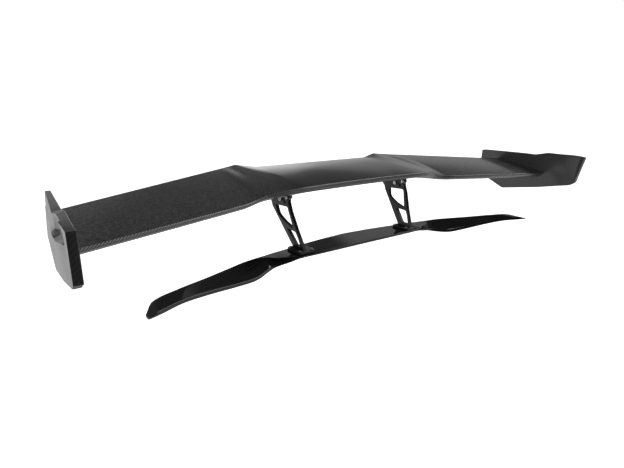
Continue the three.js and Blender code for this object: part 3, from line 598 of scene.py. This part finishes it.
# ---- wing element -------------------------------------------------------------------------------
# x, y, z of the leading edge's crest and chin, and of the trailing edge.
CREST = [
    (0, -37, 218),
    (140, -40, 218),
    (250, -50, 218),
    (310, -47, 215),
    (361, -32, 206),
    (400, -33, 195.5),
    (440, -50, 192),
    (TIP_X, -173, 180),
]
CHIN = [
    (0, -34, 201),
    (140, -36, 201),
    (250, -42, 201),
    (310, -22, 192),
    (361, 0, 182.5),
    (400, -12, 176.5),
    (440, -27, 173),
    (TIP_X, -148, 160),
]
TRAIL = [
    (0, 252, 246),
    (249, 250, 246),
    (318, 268, 257),
    (350, 256, 253.5),
    (TIP_X, 40, 219.5),
]
# Where the folds of the skin run: x at the leading edge, at the fold and at the trailing edge, and
# how far the trailing edge stands above the centre panel.
CREASES = [
    (0, 0, 0, 0),
    (205, 205, 200, 0),
    (255, 257, 249, 0),
    (300, 265, 318, 11),
    (332, 305, 334, 9.2),
    (361, 343, 350, 7.5),
]
OUTER_FROM = 380  # where the plain outer panel begins, past the last fold
OUTER_FINE_TO, OUTER_FINE_STEP = 470, 4
OUTER_ROWS = 42
JOIN_ROWS = 6  # rows between the last fold and the outer panel
CROWN_FROM = 350  # where the crown and belly start to shrink toward the tip
CHORD_STEPS = 56
UPPER_CROWDING, LOWER_CROWDING = 1.15, 1.3  # how much closer the steps are near the leading edge
BROW, BROW_RAKE = 2.5, 0.15  # how far the nose band bows forward, and the share of its rake added
BELLY_BIAS = 0.8  # moves the deepest place of the belly forward
MIRROR_ROWS, TIP_ROWS = 8, 6  # rows borrowed past the middle, and rows kept sharp at the tip

crest_y, crest_z = columns(CREST, smooth_through)
chin_y, chin_z = columns(CHIN, smooth_through)
trail_y, trail_z = columns(TRAIL, straight_through)


def toward_tip(x):
    return np.clip((x - CROWN_FROM) / (TIP_X - CROWN_FROM), 0, 1)


def line_x(line, y):
    """The x of a span line where it passes each y."""
    lead, fold, trail = line[:3]
    front = blend(lead, fold, np.clip((y - crest_y(lead)) / (FOLD_Y - crest_y(lead)), 0, 1))
    rear = blend(fold, trail, np.clip((y - FOLD_Y) / (trail_y(trail) - FOLD_Y), 0, 1))
    return np.where(y < FOLD_Y, front, rear)


def upper_row(line):
    """The upper surface on a span line, from the leading edge to the trailing edge."""
    lead, _, trail, lift = line
    start = SEAM / (trail_y(trail) - crest_y(lead))
    t = start + (1 - start) * np.linspace(0, 1, CHORD_STEPS + 1) ** UPPER_CROWDING
    y = blend(crest_y(lead), trail_y(trail), t)
    x = line_x(line, y)
    if lead >= OUTER_FROM:
        crown = blend(CROWN_CENTRE, CROWN_TIP, toward_tip(x))
        z = blend(crest_z(lead), trail_z(trail), t) + crown * bow(t)
    else:
        along = (y - crest_y(lead)) / (TRAIL[0][1] - crest_y(lead))
        rise = np.maximum(0, (y - FACET_START_Y) / (trail_y(trail) - FACET_START_Y))
        z = blend(crest_z(lead), TRAIL[0][2], along) + CROWN_CENTRE * bow(along) + lift * rise**2
    return np.stack([x, y, z], -1)


def lower_row(line):
    """The lead edge band and underside on a span line, from the crest to the trailing edge."""
    lead, _, trail = line[:3]
    crest = np.array([crest_y(lead), crest_z(lead)])
    top = crest + np.array([0, -SHOULDER])
    chin = np.array([chin_y(lead), chin_z(lead)])
    end = upper_row(line)[-1, 1:]
    end = np.array([end[0], end[1] - 2 * SKIN - GAP])
    brow = blend(top, chin, 0.5) - np.array([BROW + BROW_RAKE * (chin[0] - top[0]), 0])
    t = np.linspace(0, 1, 15)[:, None]
    band = top * (1 - t) ** 2 + 2 * t * (1 - t) * (2 * brow - (top + chin) / 2) + chin * t**2
    turn = np.linspace(0, math.pi / 2, 7)[:-1, None]
    shoulder = crest + SHOULDER * np.concatenate([1 - np.sin(turn), np.cos(turn) - 1], 1)
    shoulder[:, 0] -= GAP
    band = np.concatenate([shoulder, band])
    s = (np.linspace(0, 1, CHORD_STEPS + 1)[1:] ** LOWER_CROWDING)[:, None]
    belly = blend(BELLY_CENTRE, BELLY_TIP, toward_tip(lead))
    under = chin + (end - chin) * s
    under[:, 1:] -= belly * bow(s**BELLY_BIAS)
    section = np.concatenate([band, under])
    return np.stack([line_x(line, section[:, 0]), section[:, 0], section[:, 1]], -1)


def half_span(row):
    """Rows of one half, from the middle to the tip."""
    made = []
    for a, b in zip(CREASES, CREASES[1:]):
        flat = a[3] == b[3] == 0
        start, end = row(a), row(b)
        for t in np.linspace(0, 1, max(2, int((b[0] - a[0]) / CREASE_STEP)), endpoint=False):
            between = tuple(blend(p, q, t) for p, q in zip(a, b))
            made.append(row(between) if flat else blend(start, end, t))
    start, end = row(CREASES[-1]), row((OUTER_FROM,) * 3 + (0,))
    made += [blend(start, end, t) for t in np.linspace(0, 1, JOIN_ROWS, endpoint=False)]
    outer = [*np.arange(OUTER_FROM, OUTER_FINE_TO, OUTER_FINE_STEP)]
    outer += [*np.linspace(OUTER_FINE_TO, TIP_X - GAP, OUTER_ROWS)]
    return np.array(made + [row((x, x, x, 0)) for x in outer])


def soften(rows):
    """Rounds the folds: each row becomes the average of the rows within the crease radius."""
    place = rows[:, :, 0].mean(1)
    borrowed = slice(MIRROR_ROWS, 0, -1)
    padded = np.concatenate([rows[borrowed] * np.array([-1, 1, 1]), rows])
    padded_place = np.concatenate([-place[borrowed], place])
    soft = rows.copy()
    for i, x in enumerate(place[:-TIP_ROWS]):
        weight = np.maximum(0, 1 - np.abs(padded_place - x) / (2 * CREASE_RADIUS))
        soft[i] = np.tensordot(weight / weight.sum(), padded, 1)
    return soft


def whole_span(rows):
    flip = rows[1:][::-1] * np.array([-1, 1, 1])
    return np.concatenate([flip, rows])


def inset(grid, distance):
    """The grid moved along its normals, to the inside of the wing."""
    across = np.gradient(grid, axis=0)
    along = np.gradient(grid, axis=1)
    normal = np.cross(across, along)
    return grid - distance * normal / np.linalg.norm(normal, axis=2, keepdims=True)


def build_wing():
    upper = whole_span(soften(half_span(upper_row)))
    under = upper - np.array([0, 0, SKIN])
    stand_for("wing_top_shell", closed_sheet("wing_top", upper, under), "wing_upper_skin", "wing")
    lower = whole_span(soften(half_span(lower_row)))
    inner = inset(lower, -SKIN)
    inner[:, 0] = lower[:, 0] - np.array([0, 0, SKIN])
    inner[:, -1] = lower[:, -1] + np.array([0, 0, SKIN])
    stand_for("wing_under_shell", closed_sheet("wing_under", lower, inner), "wing_lower_skin", "wing")


# ---- deck spoiler -------------------------------------------------------------------------------
# x, rear edge y and z, front edge y and z, and the y where the front slope meets the flat.
DECK = [
    (0, 64, 8, -50, 0, -42),
    (120, 54, 8, -51, 0, -43),
    (200, 43, 8, -51, 0, -43),
    (265, 32, 8, -49, -1, -41),
    (300, 25, 9, -46, -7, -38),
    (335, 17, 9.5, -38, -14, -26),
    (355, 12, 10, -37, -19, -8),
    (380, 7, 10.5, -46, -24, 0),
    (410, 0, 11, -61, -27.5, -3),
    (440, -9, 11.5, -73, -27.5, -12),
    (500, -33, 12, -90, -22, -36),
    (580, -63, 12.5, -114, -12, -67),
    (660, -91, 13, -145, -2, -98),
    (728, -126, 13, -181, 2, -134),
    (754, -168, 5, -192, 3, -172),
]
DECK_PLACES = runs((0, 260, 41), (260, 450, 65), (450, 727.5, 55), (727.5, 754, 9))
BAND_GROWS = (265, 400)  # where the front band passes from its centre height to its outer height
TIP_THINS, TIP_THINNING = (728, 750), 0.6
UNDERSIDE_OPENS = (265, 330)  # where the flat underside gives way to a wall of even thickness
SLOPE_BULGE = 0.04
LIP_POINTS = 8

deck_rear, deck_rear_z, deck_front, deck_front_z, deck_hinge = columns(DECK, smooth_through)


def front_band(height):
    """The rounded front edge of the deck, from its foot to the start of the slope."""
    foot = [(0, 0), (-0.3, 0.3 * height), (-0.5, 0.6 * height), (-0.5, height - 1.6)]
    brow = [(-0.3, height - 0.9), (0.2, height - 0.35), (1.1, height - 0.1), (3, height)]
    return np.array(foot + brow)


def deck_top_row(x):
    height = blend(FRONT_BAND_CENTRE, FRONT_BAND_OUTER, smoothstep(x, *BAND_GROWS))
    height *= 1 - TIP_THINNING * smoothstep(x, *TIP_THINS)
    nose = np.array([deck_front(x), deck_front_z(x)]) + front_band(height)
    crest = nose[-1]
    hinge = np.array([deck_hinge(x), deck_rear_z(x)])
    rear = np.array([deck_rear(x), deck_rear_z(x)])
    s = np.linspace(0, 1, 12)[1:, None]
    slope = crest + (hinge - crest) * s
    slope[:, 1:] += SLOPE_BULGE * (hinge[1] - crest[1]) * bow(s)
    flat = hinge + (rear - hinge) * np.linspace(0, 1, 10)[1:, None]
    return np.concatenate([nose, slope, flat])


def deck_rows():
    inner_lip = np.stack([1 + 0.25 * np.arange(LIP_POINTS), np.full(LIP_POINTS, 0.4)], -1)
    tops, bottoms = [], []
    for x in DECK_PLACES:
        top = deck_top_row(x)
        bottom = top - np.array([0, DECK_WALL])
        bottom[:LIP_POINTS] = top[0] + inner_lip
        bottom[:, 1] = blend(bottom[:, 1], 0, 1 - smoothstep(x, *UNDERSIDE_OPENS))
        for section, rows in ((top, tops), (bottom, bottoms)):
            rows.append(np.column_stack([np.full(len(section), x), section]))
    return np.array(tops), np.array(bottoms)


def pocket(side):
    """The hollow under a foot that takes its backing plate."""
    low, high = (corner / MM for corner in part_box(f"backing_plate_{side}"))
    front, rear, top = low.y - GAP, high.y + GAP, high.z + GAP
    outline = [(front, -1), (rear, -1), (rear, top), (front, top)]
    return prism(outline, low.x - GAP, high.x + GAP)


def bore(sign, across, along):
    """A hole for one of the foot bolts, through the flat of the deck."""
    profile = [(0, 1), (FOOT_BORE, 1), (FOOT_BORE, DECK_TOP + 4), (0, DECK_TOP + 4)]
    mesh = mesh_from("bore", *lathe(profile, 24))
    mesh.transform(Matrix.Translation(Vector((sign * (FOOT_X + across), FOOT_Y + along, 0)) * MM))
    face_out(mesh)
    return mesh


def build_deck():
    tops, bottoms = deck_rows()
    mesh = closed_sheet("deck", whole_span(tops), whole_span(bottoms))
    mesh = cut(mesh, join_meshes("pockets", [pocket(side) for side in SIDES]))
    bores = [bore(sign, *place) for sign in SIDES.values() for place in FOOT_BOLTS]
    mesh = cut(mesh, join_meshes("bores", bores))
    stand_for("deck_lip", mesh, "deck_spoiler", "base", 24)


# ---- endplates ----------------------------------------------------------------------------------
# Fraction along the plate, y, z and thickness of its top and bottom edges.
PLATE_TOP = [
    (0, -324, 257, 15),
    (0.05, -300, 260, 16.5),
    (0.14, -262, 261.5, 19.5),
    (0.33, -182, 263.5, 20),
    (0.44, -130, 252.5, 20),
    (0.97, 117, 254, 13),
    (1, 123, 250, 12),
]
PLATE_BOTTOM = [
    (0, -302, 156, 15.5),
    (0.05, -284, 143, 16.5),
    (0.33, -160, 117, 21),
    (0.7, 2, 90, 24),
    (0.97, 118, 143, 24),
    (1, 125, 150, 22),
]
# The crease of the outer face: the floor of the scoop and the top of the thick lower part.
CREASE = [(0, 0.716), (0.1, 0.71), (0.2, 0.67), (0.3, 0.66), (0.43, 0.72), (0.64, 0.7), (1, 0.66)]
SWELL = [(0, 0), (0.05, 0), (0.2, 6), (0.38, 6), (0.65, 0), (1, 0)]  # extra thickness at the crease
SCOOP_DEPTH = [(0, 9), (0.34, 9.5), (0.41, 1.5), (1, 1)]
SCOOP_FRONT, SCOOP_OPENING = 0.055, 0.02  # fractions along the plate
SCOOP_LEAN, SCOOP_LEAN_FROM = 0.085, 0.35  # the scoop opens further back toward the top edge
SCOOP_LEDGE, SCOOP_FLARE = 0.18, 0.6  # height of its sloping floor, and how much it shallows above
SHOULDER_DROP = [(0, 0), (0.15, 0), (0.36, 4), (0.55, 0), (1, 0)]  # of the outer top edge
SHOULDER_FROM = 0.9  # fraction of the height above which the outer face follows that drop
BEAD_FADES = (0.008, 0.03)  # fractions along the plate
THICKENING = 0.8  # below 1, the plate thickens sooner below its top edge
ROUNDING = 0.03  # how far along the plate its straight edges are blended into each other
# Rows and columns of the plate's grid, closer together at its rim and round the scoop.
PLATE_COLUMNS = runs(
    (0, 0.02, 9), (0.02, 0.05, 6), (0.05, 0.1, 24), (0.1, 0.98, 96), (0.98, 1, 9)
).round(5)
SHARES_BELOW = runs((0, 0.03, 9), (0.03, 0.97, 30), (0.97, 1, 5))
SHARES_ABOVE = runs((0, SCOOP_LEDGE, 13), (SCOOP_LEDGE, 0.94, 14), (0.94, 1, 8))[1:]


def soft_through(stations):
    """Straight lines between stations, with the corners between them blended."""
    xs, values = zip(*stations)
    offsets = np.linspace(-0.5, 0.5, 9) * ROUNDING

    def curve(x):
        spread = np.minimum(np.minimum(x, 1 - x) / (ROUNDING / 2), 1)
        return np.mean([np.interp(x + offset * spread, xs, values) for offset in offsets], 0)

    return curve


top_edge = columns(PLATE_TOP, soft_through)
bottom_edge = columns(PLATE_BOTTOM, soft_through)
crease_up = soft_through(CREASE)
scoop_deep = straight_through(SCOOP_DEPTH)
shoulder_drop = smooth_through(SHOULDER_DROP)
swell = soft_through(SWELL)


def scoop_depth(along, up):
    """How far the scoop sinks into the outer face."""
    crease = crease_up(along)
    above = (up - crease) / (1 - crease)
    lean = np.maximum(0, (above - SCOOP_LEAN_FROM) / (1 - SCOOP_LEAN_FROM))
    front = SCOOP_FRONT + SCOOP_LEAN * lean**2
    opened = smoothstep(along, front, front + SCOOP_OPENING)
    ledge = 1 - (1 - np.clip(above / SCOOP_LEDGE, 0, 1)) ** 2.5
    flare = 1 - SCOOP_FLARE * np.maximum(0, (above - SCOOP_LEDGE) / (1 - SCOOP_LEDGE))
    return np.where(above <= 0, 0, scoop_deep(along) * opened * ledge * flare)


def endplate_mesh():
    along = np.repeat(PLATE_COLUMNS[:, None], len(SHARES_BELOW) + len(SHARES_ABOVE), 1)
    crease = crease_up(along[:, :1])
    up = np.concatenate([SHARES_BELOW * crease, crease + (1 - crease) * SHARES_ABOVE], 1)
    y, z, _ = (blend(low(along), high(along), up) for low, high in zip(bottom_edge, top_edge))
    body = blend(top_edge[2](along), bottom_edge[2](along), (1 - up) ** THICKENING)
    over = np.clip((up - crease) / (1 - crease) / SCOOP_LEDGE, 0, 1)
    body += swell(along) * np.where(up < crease, up / crease, 1 - over)
    outer = body - scoop_depth(along, up)
    inner = GAP - FRONT_BEAD * (1 - smoothstep(along, *BEAD_FADES))
    height = top_edge[1](along) - bottom_edge[1](along)
    rim = np.minimum(np.minimum(along, 1 - along) * PLATE_LONG, np.minimum(up, 1 - up) * height)
    inward = 1 - np.clip(rim / EDGE_RADIUS, 0, 1)
    edge = EDGE_RADIUS * (1 - np.sqrt(1 - inward**2))
    low_z = z - shoulder_drop(along) * smoothstep(up, SHOULDER_FROM, 1)
    outer_face = np.stack([TIP_X + outer - edge, y, low_z], -1)
    return closed_sheet("endplate", outer_face, np.stack([TIP_X + inner + edge, y, z], -1))


def build_endplates():
    mesh = endplate_mesh()
    for side, sign in SIDES.items():
        name = f"endplate_shell_{side}"
        flat_shaded(stand_for(name, mirrored(mesh, sign), f"endplate_{side}", "wing", 40))


# ---- pylons -------------------------------------------------------------------------------------
PYLON_RIM = [
    (-41, FOOT_Z + 1, 0),
    (20, FOOT_Z + 1, 0),
    (119, PYLON_BEND_Z - 2, 14),
    (124, 148, 4),
    (136, 160, 3),
    (134, 176, 5),
    (62, 181, 8),
    (38, 182, 6),
    (26, 187, 3),
    (20, 187, 4),
    (21, 162, 10),
    (11, PYLON_BEND_Z, 8),
    (-10, 80, 30),
]
UPPER_WINDOW = [
    (98, 143.5, 4),
    (90, 112, 22),
    (52, 93, 12),
    (6, 80, 5),
    (25, 147, 9),
]
LOWER_WINDOW = [(45, 74, 3), (5, 26, 3), (-24, 25, 3), (-13, 55, 8), (-3, 71, 8)]
WEDGE_WINDOW = [(45, 157, 2.5), (34, 156, 2.5), (42, 173, 3), (51, 171, 3)]
FORK = [(0, 158), (40, 158), (58, 153), (80, 153), (130, 158), (130, 200), (0, 200)]
BEND_SOFT = 5


def adjuster_slot():
    """The curved slot that lets the adjuster bolt swing round the pivot."""
    reach = math.hypot(ADJUSTER[0] - PIVOT[0], ADJUSTER[1] - PIVOT[1])
    rest = math.degrees(math.atan2(ADJUSTER[1] - PIVOT[1], ADJUSTER[0] - PIVOT[0]))
    low, high = rest - TILT_DOWN, rest + TILT_UP
    outer = arc(PIVOT, reach + SLOT_HALF, low, high, 8)
    inner = arc(PIVOT, reach - SLOT_HALF, high, low, 8)

    def end(at, start):
        centre = arc(PIVOT, reach, at, at, 1)[0]
        return arc(centre, SLOT_HALF, start, start + 180, 8)[1:-1]

    return outer + end(high, high) + inner + end(low, low + 180)


def pylon_x(z):
    """The middle of the pylon plate at a height: it leans out to the bend and stands above it."""
    lean = (PYLON_HEAD_X - PYLON_FOOT_X) / (PYLON_BEND_Z - FOOT_Z)
    past = (z - PYLON_BEND_Z) / BEND_SOFT
    if past > 1:
        return PYLON_HEAD_X
    drop = BEND_SOFT * (past if past < -1 else -((1 - past) ** 2) / 4)
    return PYLON_HEAD_X + lean * drop


def pylon_mesh():
    windows = [rounded(UPPER_WINDOW), rounded(LOWER_WINDOW), rounded(WEDGE_WINDOW)]
    outlines = [rounded(PYLON_RIM), *windows, circle(PIVOT, PIVOT_BORE), adjuster_slot()]
    mesh = plate_mesh("pylon", outlines, PYLON_THICK, PYLON_EDGE)
    bm = bmesh.new()
    bm.from_mesh(mesh)
    for step in np.linspace(-1, 1, 5):
        height = (PYLON_BEND_Z + step * BEND_SOFT) * MM
        geometry = bm.verts[:] + bm.edges[:] + bm.faces[:]
        bmesh.ops.bisect_plane(bm, geom=geometry, plane_co=(0, 0, height), plane_no=(0, 0, 1))
    for vertex in bm.verts:
        vertex.co.x += pylon_x(vertex.co.z / MM) * MM
    bm.to_mesh(mesh)
    bm.free()
    half = TONGUE_THICK / 2 + GAP
    return cut(mesh, prism(FORK, PYLON_HEAD_X - half, PYLON_HEAD_X + half))


def foot_outline():
    x, y, c = FOOT_WIDE / 2, FOOT_LONG / 2, FOOT_CHAMFER
    corners = [(-x + c, -y), (x - c, -y), (x, -y + c), (x, y - c)]
    corners += [(-px, -py) for px, py in corners]
    return rounded([(px, py, FOOT_CORNER) for px, py in corners], 4)


def flat_plate(name, outlines, thick, edge, low_z):
    """A plate with rounded edges that lies flat; its outlines are in X-Y round the foot's middle."""
    mesh = plate_mesh(name, outlines, thick, edge)
    middle = Vector((FOOT_X, FOOT_Y, low_z + thick / 2)) * MM
    mesh.transform(Matrix.Translation(middle) @ LAY_FLAT)
    weld(mesh)
    return mesh


def build_pylons():
    outlines = [foot_outline(), *[circle(place, FOOT_BORE) for place in FOOT_BOLTS]]
    foot = flat_plate("foot", outlines, FOOT_THICK, FOOT_EDGE, FOOT_Z)
    gasket = flat_plate("gasket", outlines, GASKET - GAP, GASKET_EDGE, DECK_TOP + GAP)
    pylon = join_meshes("pylon", [pylon_mesh(), foot])
    for side, sign in SIDES.items():
        plate = mirrored(pylon, sign)
        flat_shaded(stand_for(f"pylon_plate_{side}", plate, f"pylon_{side}", "base", 30))
        stand_for(f"foot_seal_{side}", mirrored(gasket, sign), f"foot_gasket_{side}", "base", 30)


# ---- fasteners ----------------------------------------------------------------------------------
SOCKET_WIDE, SOCKET_FLOOR = 0.52, 0.4  # shares of a bolt head's radius and height
BRACKET_SCREWS = [(46, 190), (117, 198)]
BRACKET_SCREW_SPREAD = 13
CHEEK = PYLON_THICK / 2 + GAP


def socket_bolt(shank, head, tall, long):
    """A hexagon-socket bolt with its head on z = 0 and its shank down. shank and head are radii."""
    profile = [
        (0, -long),
        (shank - 0.6, -long),
        (shank, -long + 0.6),
        (shank, 0),
        (head - 0.3, 0),
        (head, 0.3),
        (head, tall - 0.7),
        (head - 0.25, tall - 0.25),
        (head - 0.8, tall),
        (0, tall),
    ]
    body = mesh_from("bolt", *lathe(profile))
    face_out(body)
    key = prism(circle((0, 0), head * SOCKET_WIDE, 6), tall * SOCKET_FLOOR, tall + 1)
    key.transform(LAY_FLAT)
    return cut(body, key)


def hex_nut(hole, across_flats, thick=NUT_THICK):
    """A hexagon nut with chamfered corners, its axis on Z from z = 0 up. hole is a radius."""
    flat, corner = across_flats / 2, across_flats / math.sqrt(3)
    profile = [(0, 0), (flat, 0), (corner, NUT_CHAMFER)]
    profile += [(corner, thick - NUT_CHAMFER), (flat, thick), (0, thick)]
    blank = mesh_from("blank", *lathe(profile, 48))
    face_out(blank)
    wide = across_flats
    for turn in np.radians(range(0, 180, 60)):
        for sign in (-1, 1):
            low, high = sorted((sign * flat, sign * 2 * wide))
            slab = prism([(low, -1), (high, -1), (high, thick + 1), (low, thick + 1)], -wide, wide)
            slab.transform(Matrix.Rotation(turn, 4, "Z"))
            blank = cut(blank, slab)
    core = mesh_from("core", *lathe([(0, -1), (hole, -1), (hole, thick + 1), (0, thick + 1)]))
    face_out(core)
    return cut(blank, core)


def placed(mesh, direction, place):
    """A copy of a mesh that stood along +Z, pointed along a direction and put at a place in mm."""
    copy = mesh.copy()
    turn = Vector((0, 0, 1)).rotation_difference(Vector(direction)).to_matrix().to_4x4()
    copy.transform(Matrix.Translation(Vector(place) * MM) @ turn)
    return copy


def build_fasteners():
    foot_top = FOOT_Z + FOOT_THICK + GAP
    foot_bolt = socket_bolt(shank=3, head=5, tall=3.5, long=foot_top - 0.2)
    bracket_screw = socket_bolt(shank=2.5, head=4.2, tall=3, long=22)
    through = PYLON_THICK + 2 * GAP + NUT_THICK + 2
    pivot_bolt = socket_bolt(shank=4, head=7, tall=4.5, long=through)
    adjuster_bolt = socket_bolt(shank=3, head=5.5, tall=4, long=through)
    kinds = [
        ("pivot", PIVOT, pivot_bolt, hex_nut(4.3, 13)),
        ("adjuster", ADJUSTER, adjuster_bolt, hex_nut(3.3, 10)),
    ]
    spread = (-BRACKET_SCREW_SPREAD, BRACKET_SCREW_SPREAD)
    seats = [(y, z, across) for y, z in BRACKET_SCREWS for across in spread]
    for side, sign in SIDES.items():
        for i, (across, along) in enumerate(FOOT_BOLTS, 1):
            mesh = placed(foot_bolt, (0, 0, 1), (FOOT_X + across, FOOT_Y + along, foot_top))
            stand_for(f"foot_screw_{side}_{i}", mirrored(mesh, sign), f"foot_bolt_{side}_{i}", "base")
        for i, (y, z, across) in enumerate(seats, 1):
            mesh = placed(bracket_screw, (0, 0, -1), (PYLON_HEAD_X + across, y, z - GAP))
            node = f"bracket_screw_{side}_{i}"
            stand_for(f"flange_screw_{side}_{i}", mirrored(mesh, sign), node, "wing")
        for kind, (y, z), bolt, nut in kinds:
            body = BODY_OF[f"{kind}_bolt_{side}"]
            mesh = placed(bolt, (1, 0, 0), (PYLON_HEAD_X + CHEEK, y, z))
            stand_for(f"{kind}_screw_{side}", mirrored(mesh, sign), f"{kind}_bolt_{side}", body)
            mesh = placed(nut, (-1, 0, 0), (PYLON_HEAD_X - CHEEK, y, z))
            body = BODY_OF[f"{kind}_nut_{side}"]
            stand_for(f"{kind}_hexnut_{side}", mirrored(mesh, sign), f"{kind}_nut_{side}", body)


build_wing()
build_deck()
build_endplates()
build_pylons()
build_fasteners()


# ---- stage, light and camera --------------------------------------------------------------------
FLOOR_Z = -0.9
ROOM_FRONT, ROOM_REAR, ROOM_WHITE = 0.15, 0.5, 1.1
ROOM_TURNS = (-0.4, 0.2)  # from front to rear, as the Y of a direction
ROOM_HIGH = 0.12  # how much of that is left overhead
# The right half of the wall is a taller panel. This points across the slanted edge between the two.
PANEL_SIDE = (0.581, -0.150, -0.800)
PANEL_EDGE = 0.02
LOW_PANEL_FADES, LOW_PANEL = (0.0, 0.34), 1  # as the Z of a direction, and the strength below it
TALL_PANEL_FADES, TALL_PANEL = (0.35, 0.5), 0.7
LENS, SENSOR = 24.52, 36
CAMERA_PLACE = (-0.940, -1.075, 0.448)
CAMERA_TILT, CAMERA_TURN = 73.24, -35.04


def floor_material():
    shader = Shader("pale_floor", Roughness=0.9, Specular_IOR_Level=0.1, Emission_Strength=1.3)
    tone = shader.mix(shader.noise(1.5, 2), grey(0.8), grey(0.79))
    shader.set(Base_Color=tone, Emission_Color=tone)
    return shader.material


def build_stage():
    """A wide round pale floor well below the part."""
    points, faces = lathe([(0, 0), *[(r, 0) for r in (1, 2, 4, 8, 16)], (0, 0)], 96)
    disc = [face for face in faces if len(points) - 1 not in face]
    mesh = bpy.data.meshes.new("floor")
    mesh.from_pydata([(x, y, FLOOR_Z) for x, y, _ in points[:-1]], [], disc)
    floor = new_object("floor", mesh, 80)
    floor.data.materials.append(floor_material())
    floor.visible_glossy = False
    floor.visible_diffuse = False


def area_light(name, place, aim, size, power):
    """A soft rectangular lamp, which reflections don't show."""
    light = bpy.data.lights.new(name, "AREA")
    light.shape = "RECTANGLE"
    light.size, light.size_y = size
    light.energy = power
    lamp = bpy.data.objects.new(name, light)
    bpy.context.scene.collection.objects.link(lamp)
    lamp.location = place
    lamp.visible_glossy = False
    lamp.rotation_euler = (Vector(aim) - Vector(place)).to_track_quat("-Z", "Y").to_euler()


# Soft boxes of the room: direction, cosine of the half angle at its edge and in its middle, and
# brightness.
SOFT_BOXES = [
    ((0.7, -0.12, 0.71), 0.94, 0.98, 5.5),
    ((0.71, -0.41, -0.57), 0.83, 0.95, 0.7),
    ((-0.95, 0.25, -0.17), 0.82, 0.94, 0.7),
    ((0.53, 0.85, -0.03), 0.943, 0.985, 0.3),
    ((0.47, 0.85, 0.23), 0.99, 0.998, 0.4),
    ((0.34, 0.94, -0.03), 0.943, 0.985, 0.35),
    ((-0.24, 0.88, -0.42), 0.93, 0.98, 0.2),
    ((-0.05, 0.9, 0.42), 0.955, 0.99, 0.1),
]


def build_light():
    """A room with two wall panels that fade out overhead, with soft boxes. What the room shows
    directly is plain white, and what it sheds on the part is weaker."""
    world = bpy.data.worlds.new("studio")
    bpy.context.scene.world = world
    world.use_nodes = True
    tree = world.node_tree
    nodes, link = tree.nodes, tree.links.new

    def fade(value, low, high, start, end):
        made = nodes.new("ShaderNodeMapRange")
        made.interpolation_type = "SMOOTHSTEP"
        link(value, made.inputs["Value"])
        span = {"From Min": low, "From Max": high, "To Min": start, "To Max": end}
        for socket, number in span.items():
            made.inputs[socket].default_value = number
        return made.outputs["Result"]

    direction = nodes.new("ShaderNodeTexCoord").outputs["Generated"]
    split = nodes.new("ShaderNodeSeparateXYZ")
    link(direction, split.inputs[0])
    wall = fade(split.outputs["Y"], *ROOM_TURNS, ROOM_FRONT, ROOM_REAR)
    side = nodes.new("ShaderNodeVectorMath")
    side.operation = "DOT_PRODUCT"
    link(direction, side.inputs[0])
    side.inputs[1].default_value = PANEL_SIDE
    top = nodes.new("ShaderNodeMix")
    link(fade(side.outputs["Value"], -PANEL_EDGE, PANEL_EDGE, 0, 1), top.inputs[0])
    link(fade(split.outputs["Z"], *LOW_PANEL_FADES, LOW_PANEL, ROOM_HIGH), top.inputs[2])
    link(fade(split.outputs["Z"], *TALL_PANEL_FADES, TALL_PANEL, ROOM_HIGH), top.inputs[3])
    level = nodes.new("ShaderNodeMath")
    level.operation = "MULTIPLY"
    link(wall, level.inputs[0])
    link(top.outputs[0], level.inputs[1])
    total = level.outputs[0]
    for toward, edge, middle, brightness in SOFT_BOXES:
        dot = nodes.new("ShaderNodeVectorMath")
        dot.operation = "DOT_PRODUCT"
        link(direction, dot.inputs[0])
        dot.inputs[1].default_value = Vector(toward).normalized()
        add = nodes.new("ShaderNodeMath")
        link(total, add.inputs[0])
        link(fade(dot.outputs["Value"], edge, middle, 0, brightness), add.inputs[1])
        total = add.outputs[0]
    seen = nodes.new("ShaderNodeMix")
    link(nodes.new("ShaderNodeLightPath").outputs["Is Camera Ray"], seen.inputs[0])
    link(total, seen.inputs[2])
    seen.inputs[3].default_value = ROOM_WHITE
    background = nodes["Background"]
    background.inputs["Color"].default_value = (1, 1, 1, 1)
    link(seen.outputs[0], background.inputs["Strength"])
    area_light("overhead", place=(-0.6, -0.8, 3.0), aim=(0, 0, 0.1), size=(2.4, 1.6), power=12)


def build_camera():
    lens = bpy.data.cameras.new("camera")
    lens.lens = LENS
    lens.sensor_width = SENSOR
    camera = bpy.data.objects.new("camera", lens)
    bpy.context.scene.collection.objects.link(camera)
    camera.location = CAMERA_PLACE
    camera.rotation_euler = (math.radians(CAMERA_TILT), 0, math.radians(CAMERA_TURN))
    bpy.context.scene.camera = camera


build_stage()
build_light()
build_camera()
bpy.context.scene.view_settings.view_transform = "Standard"
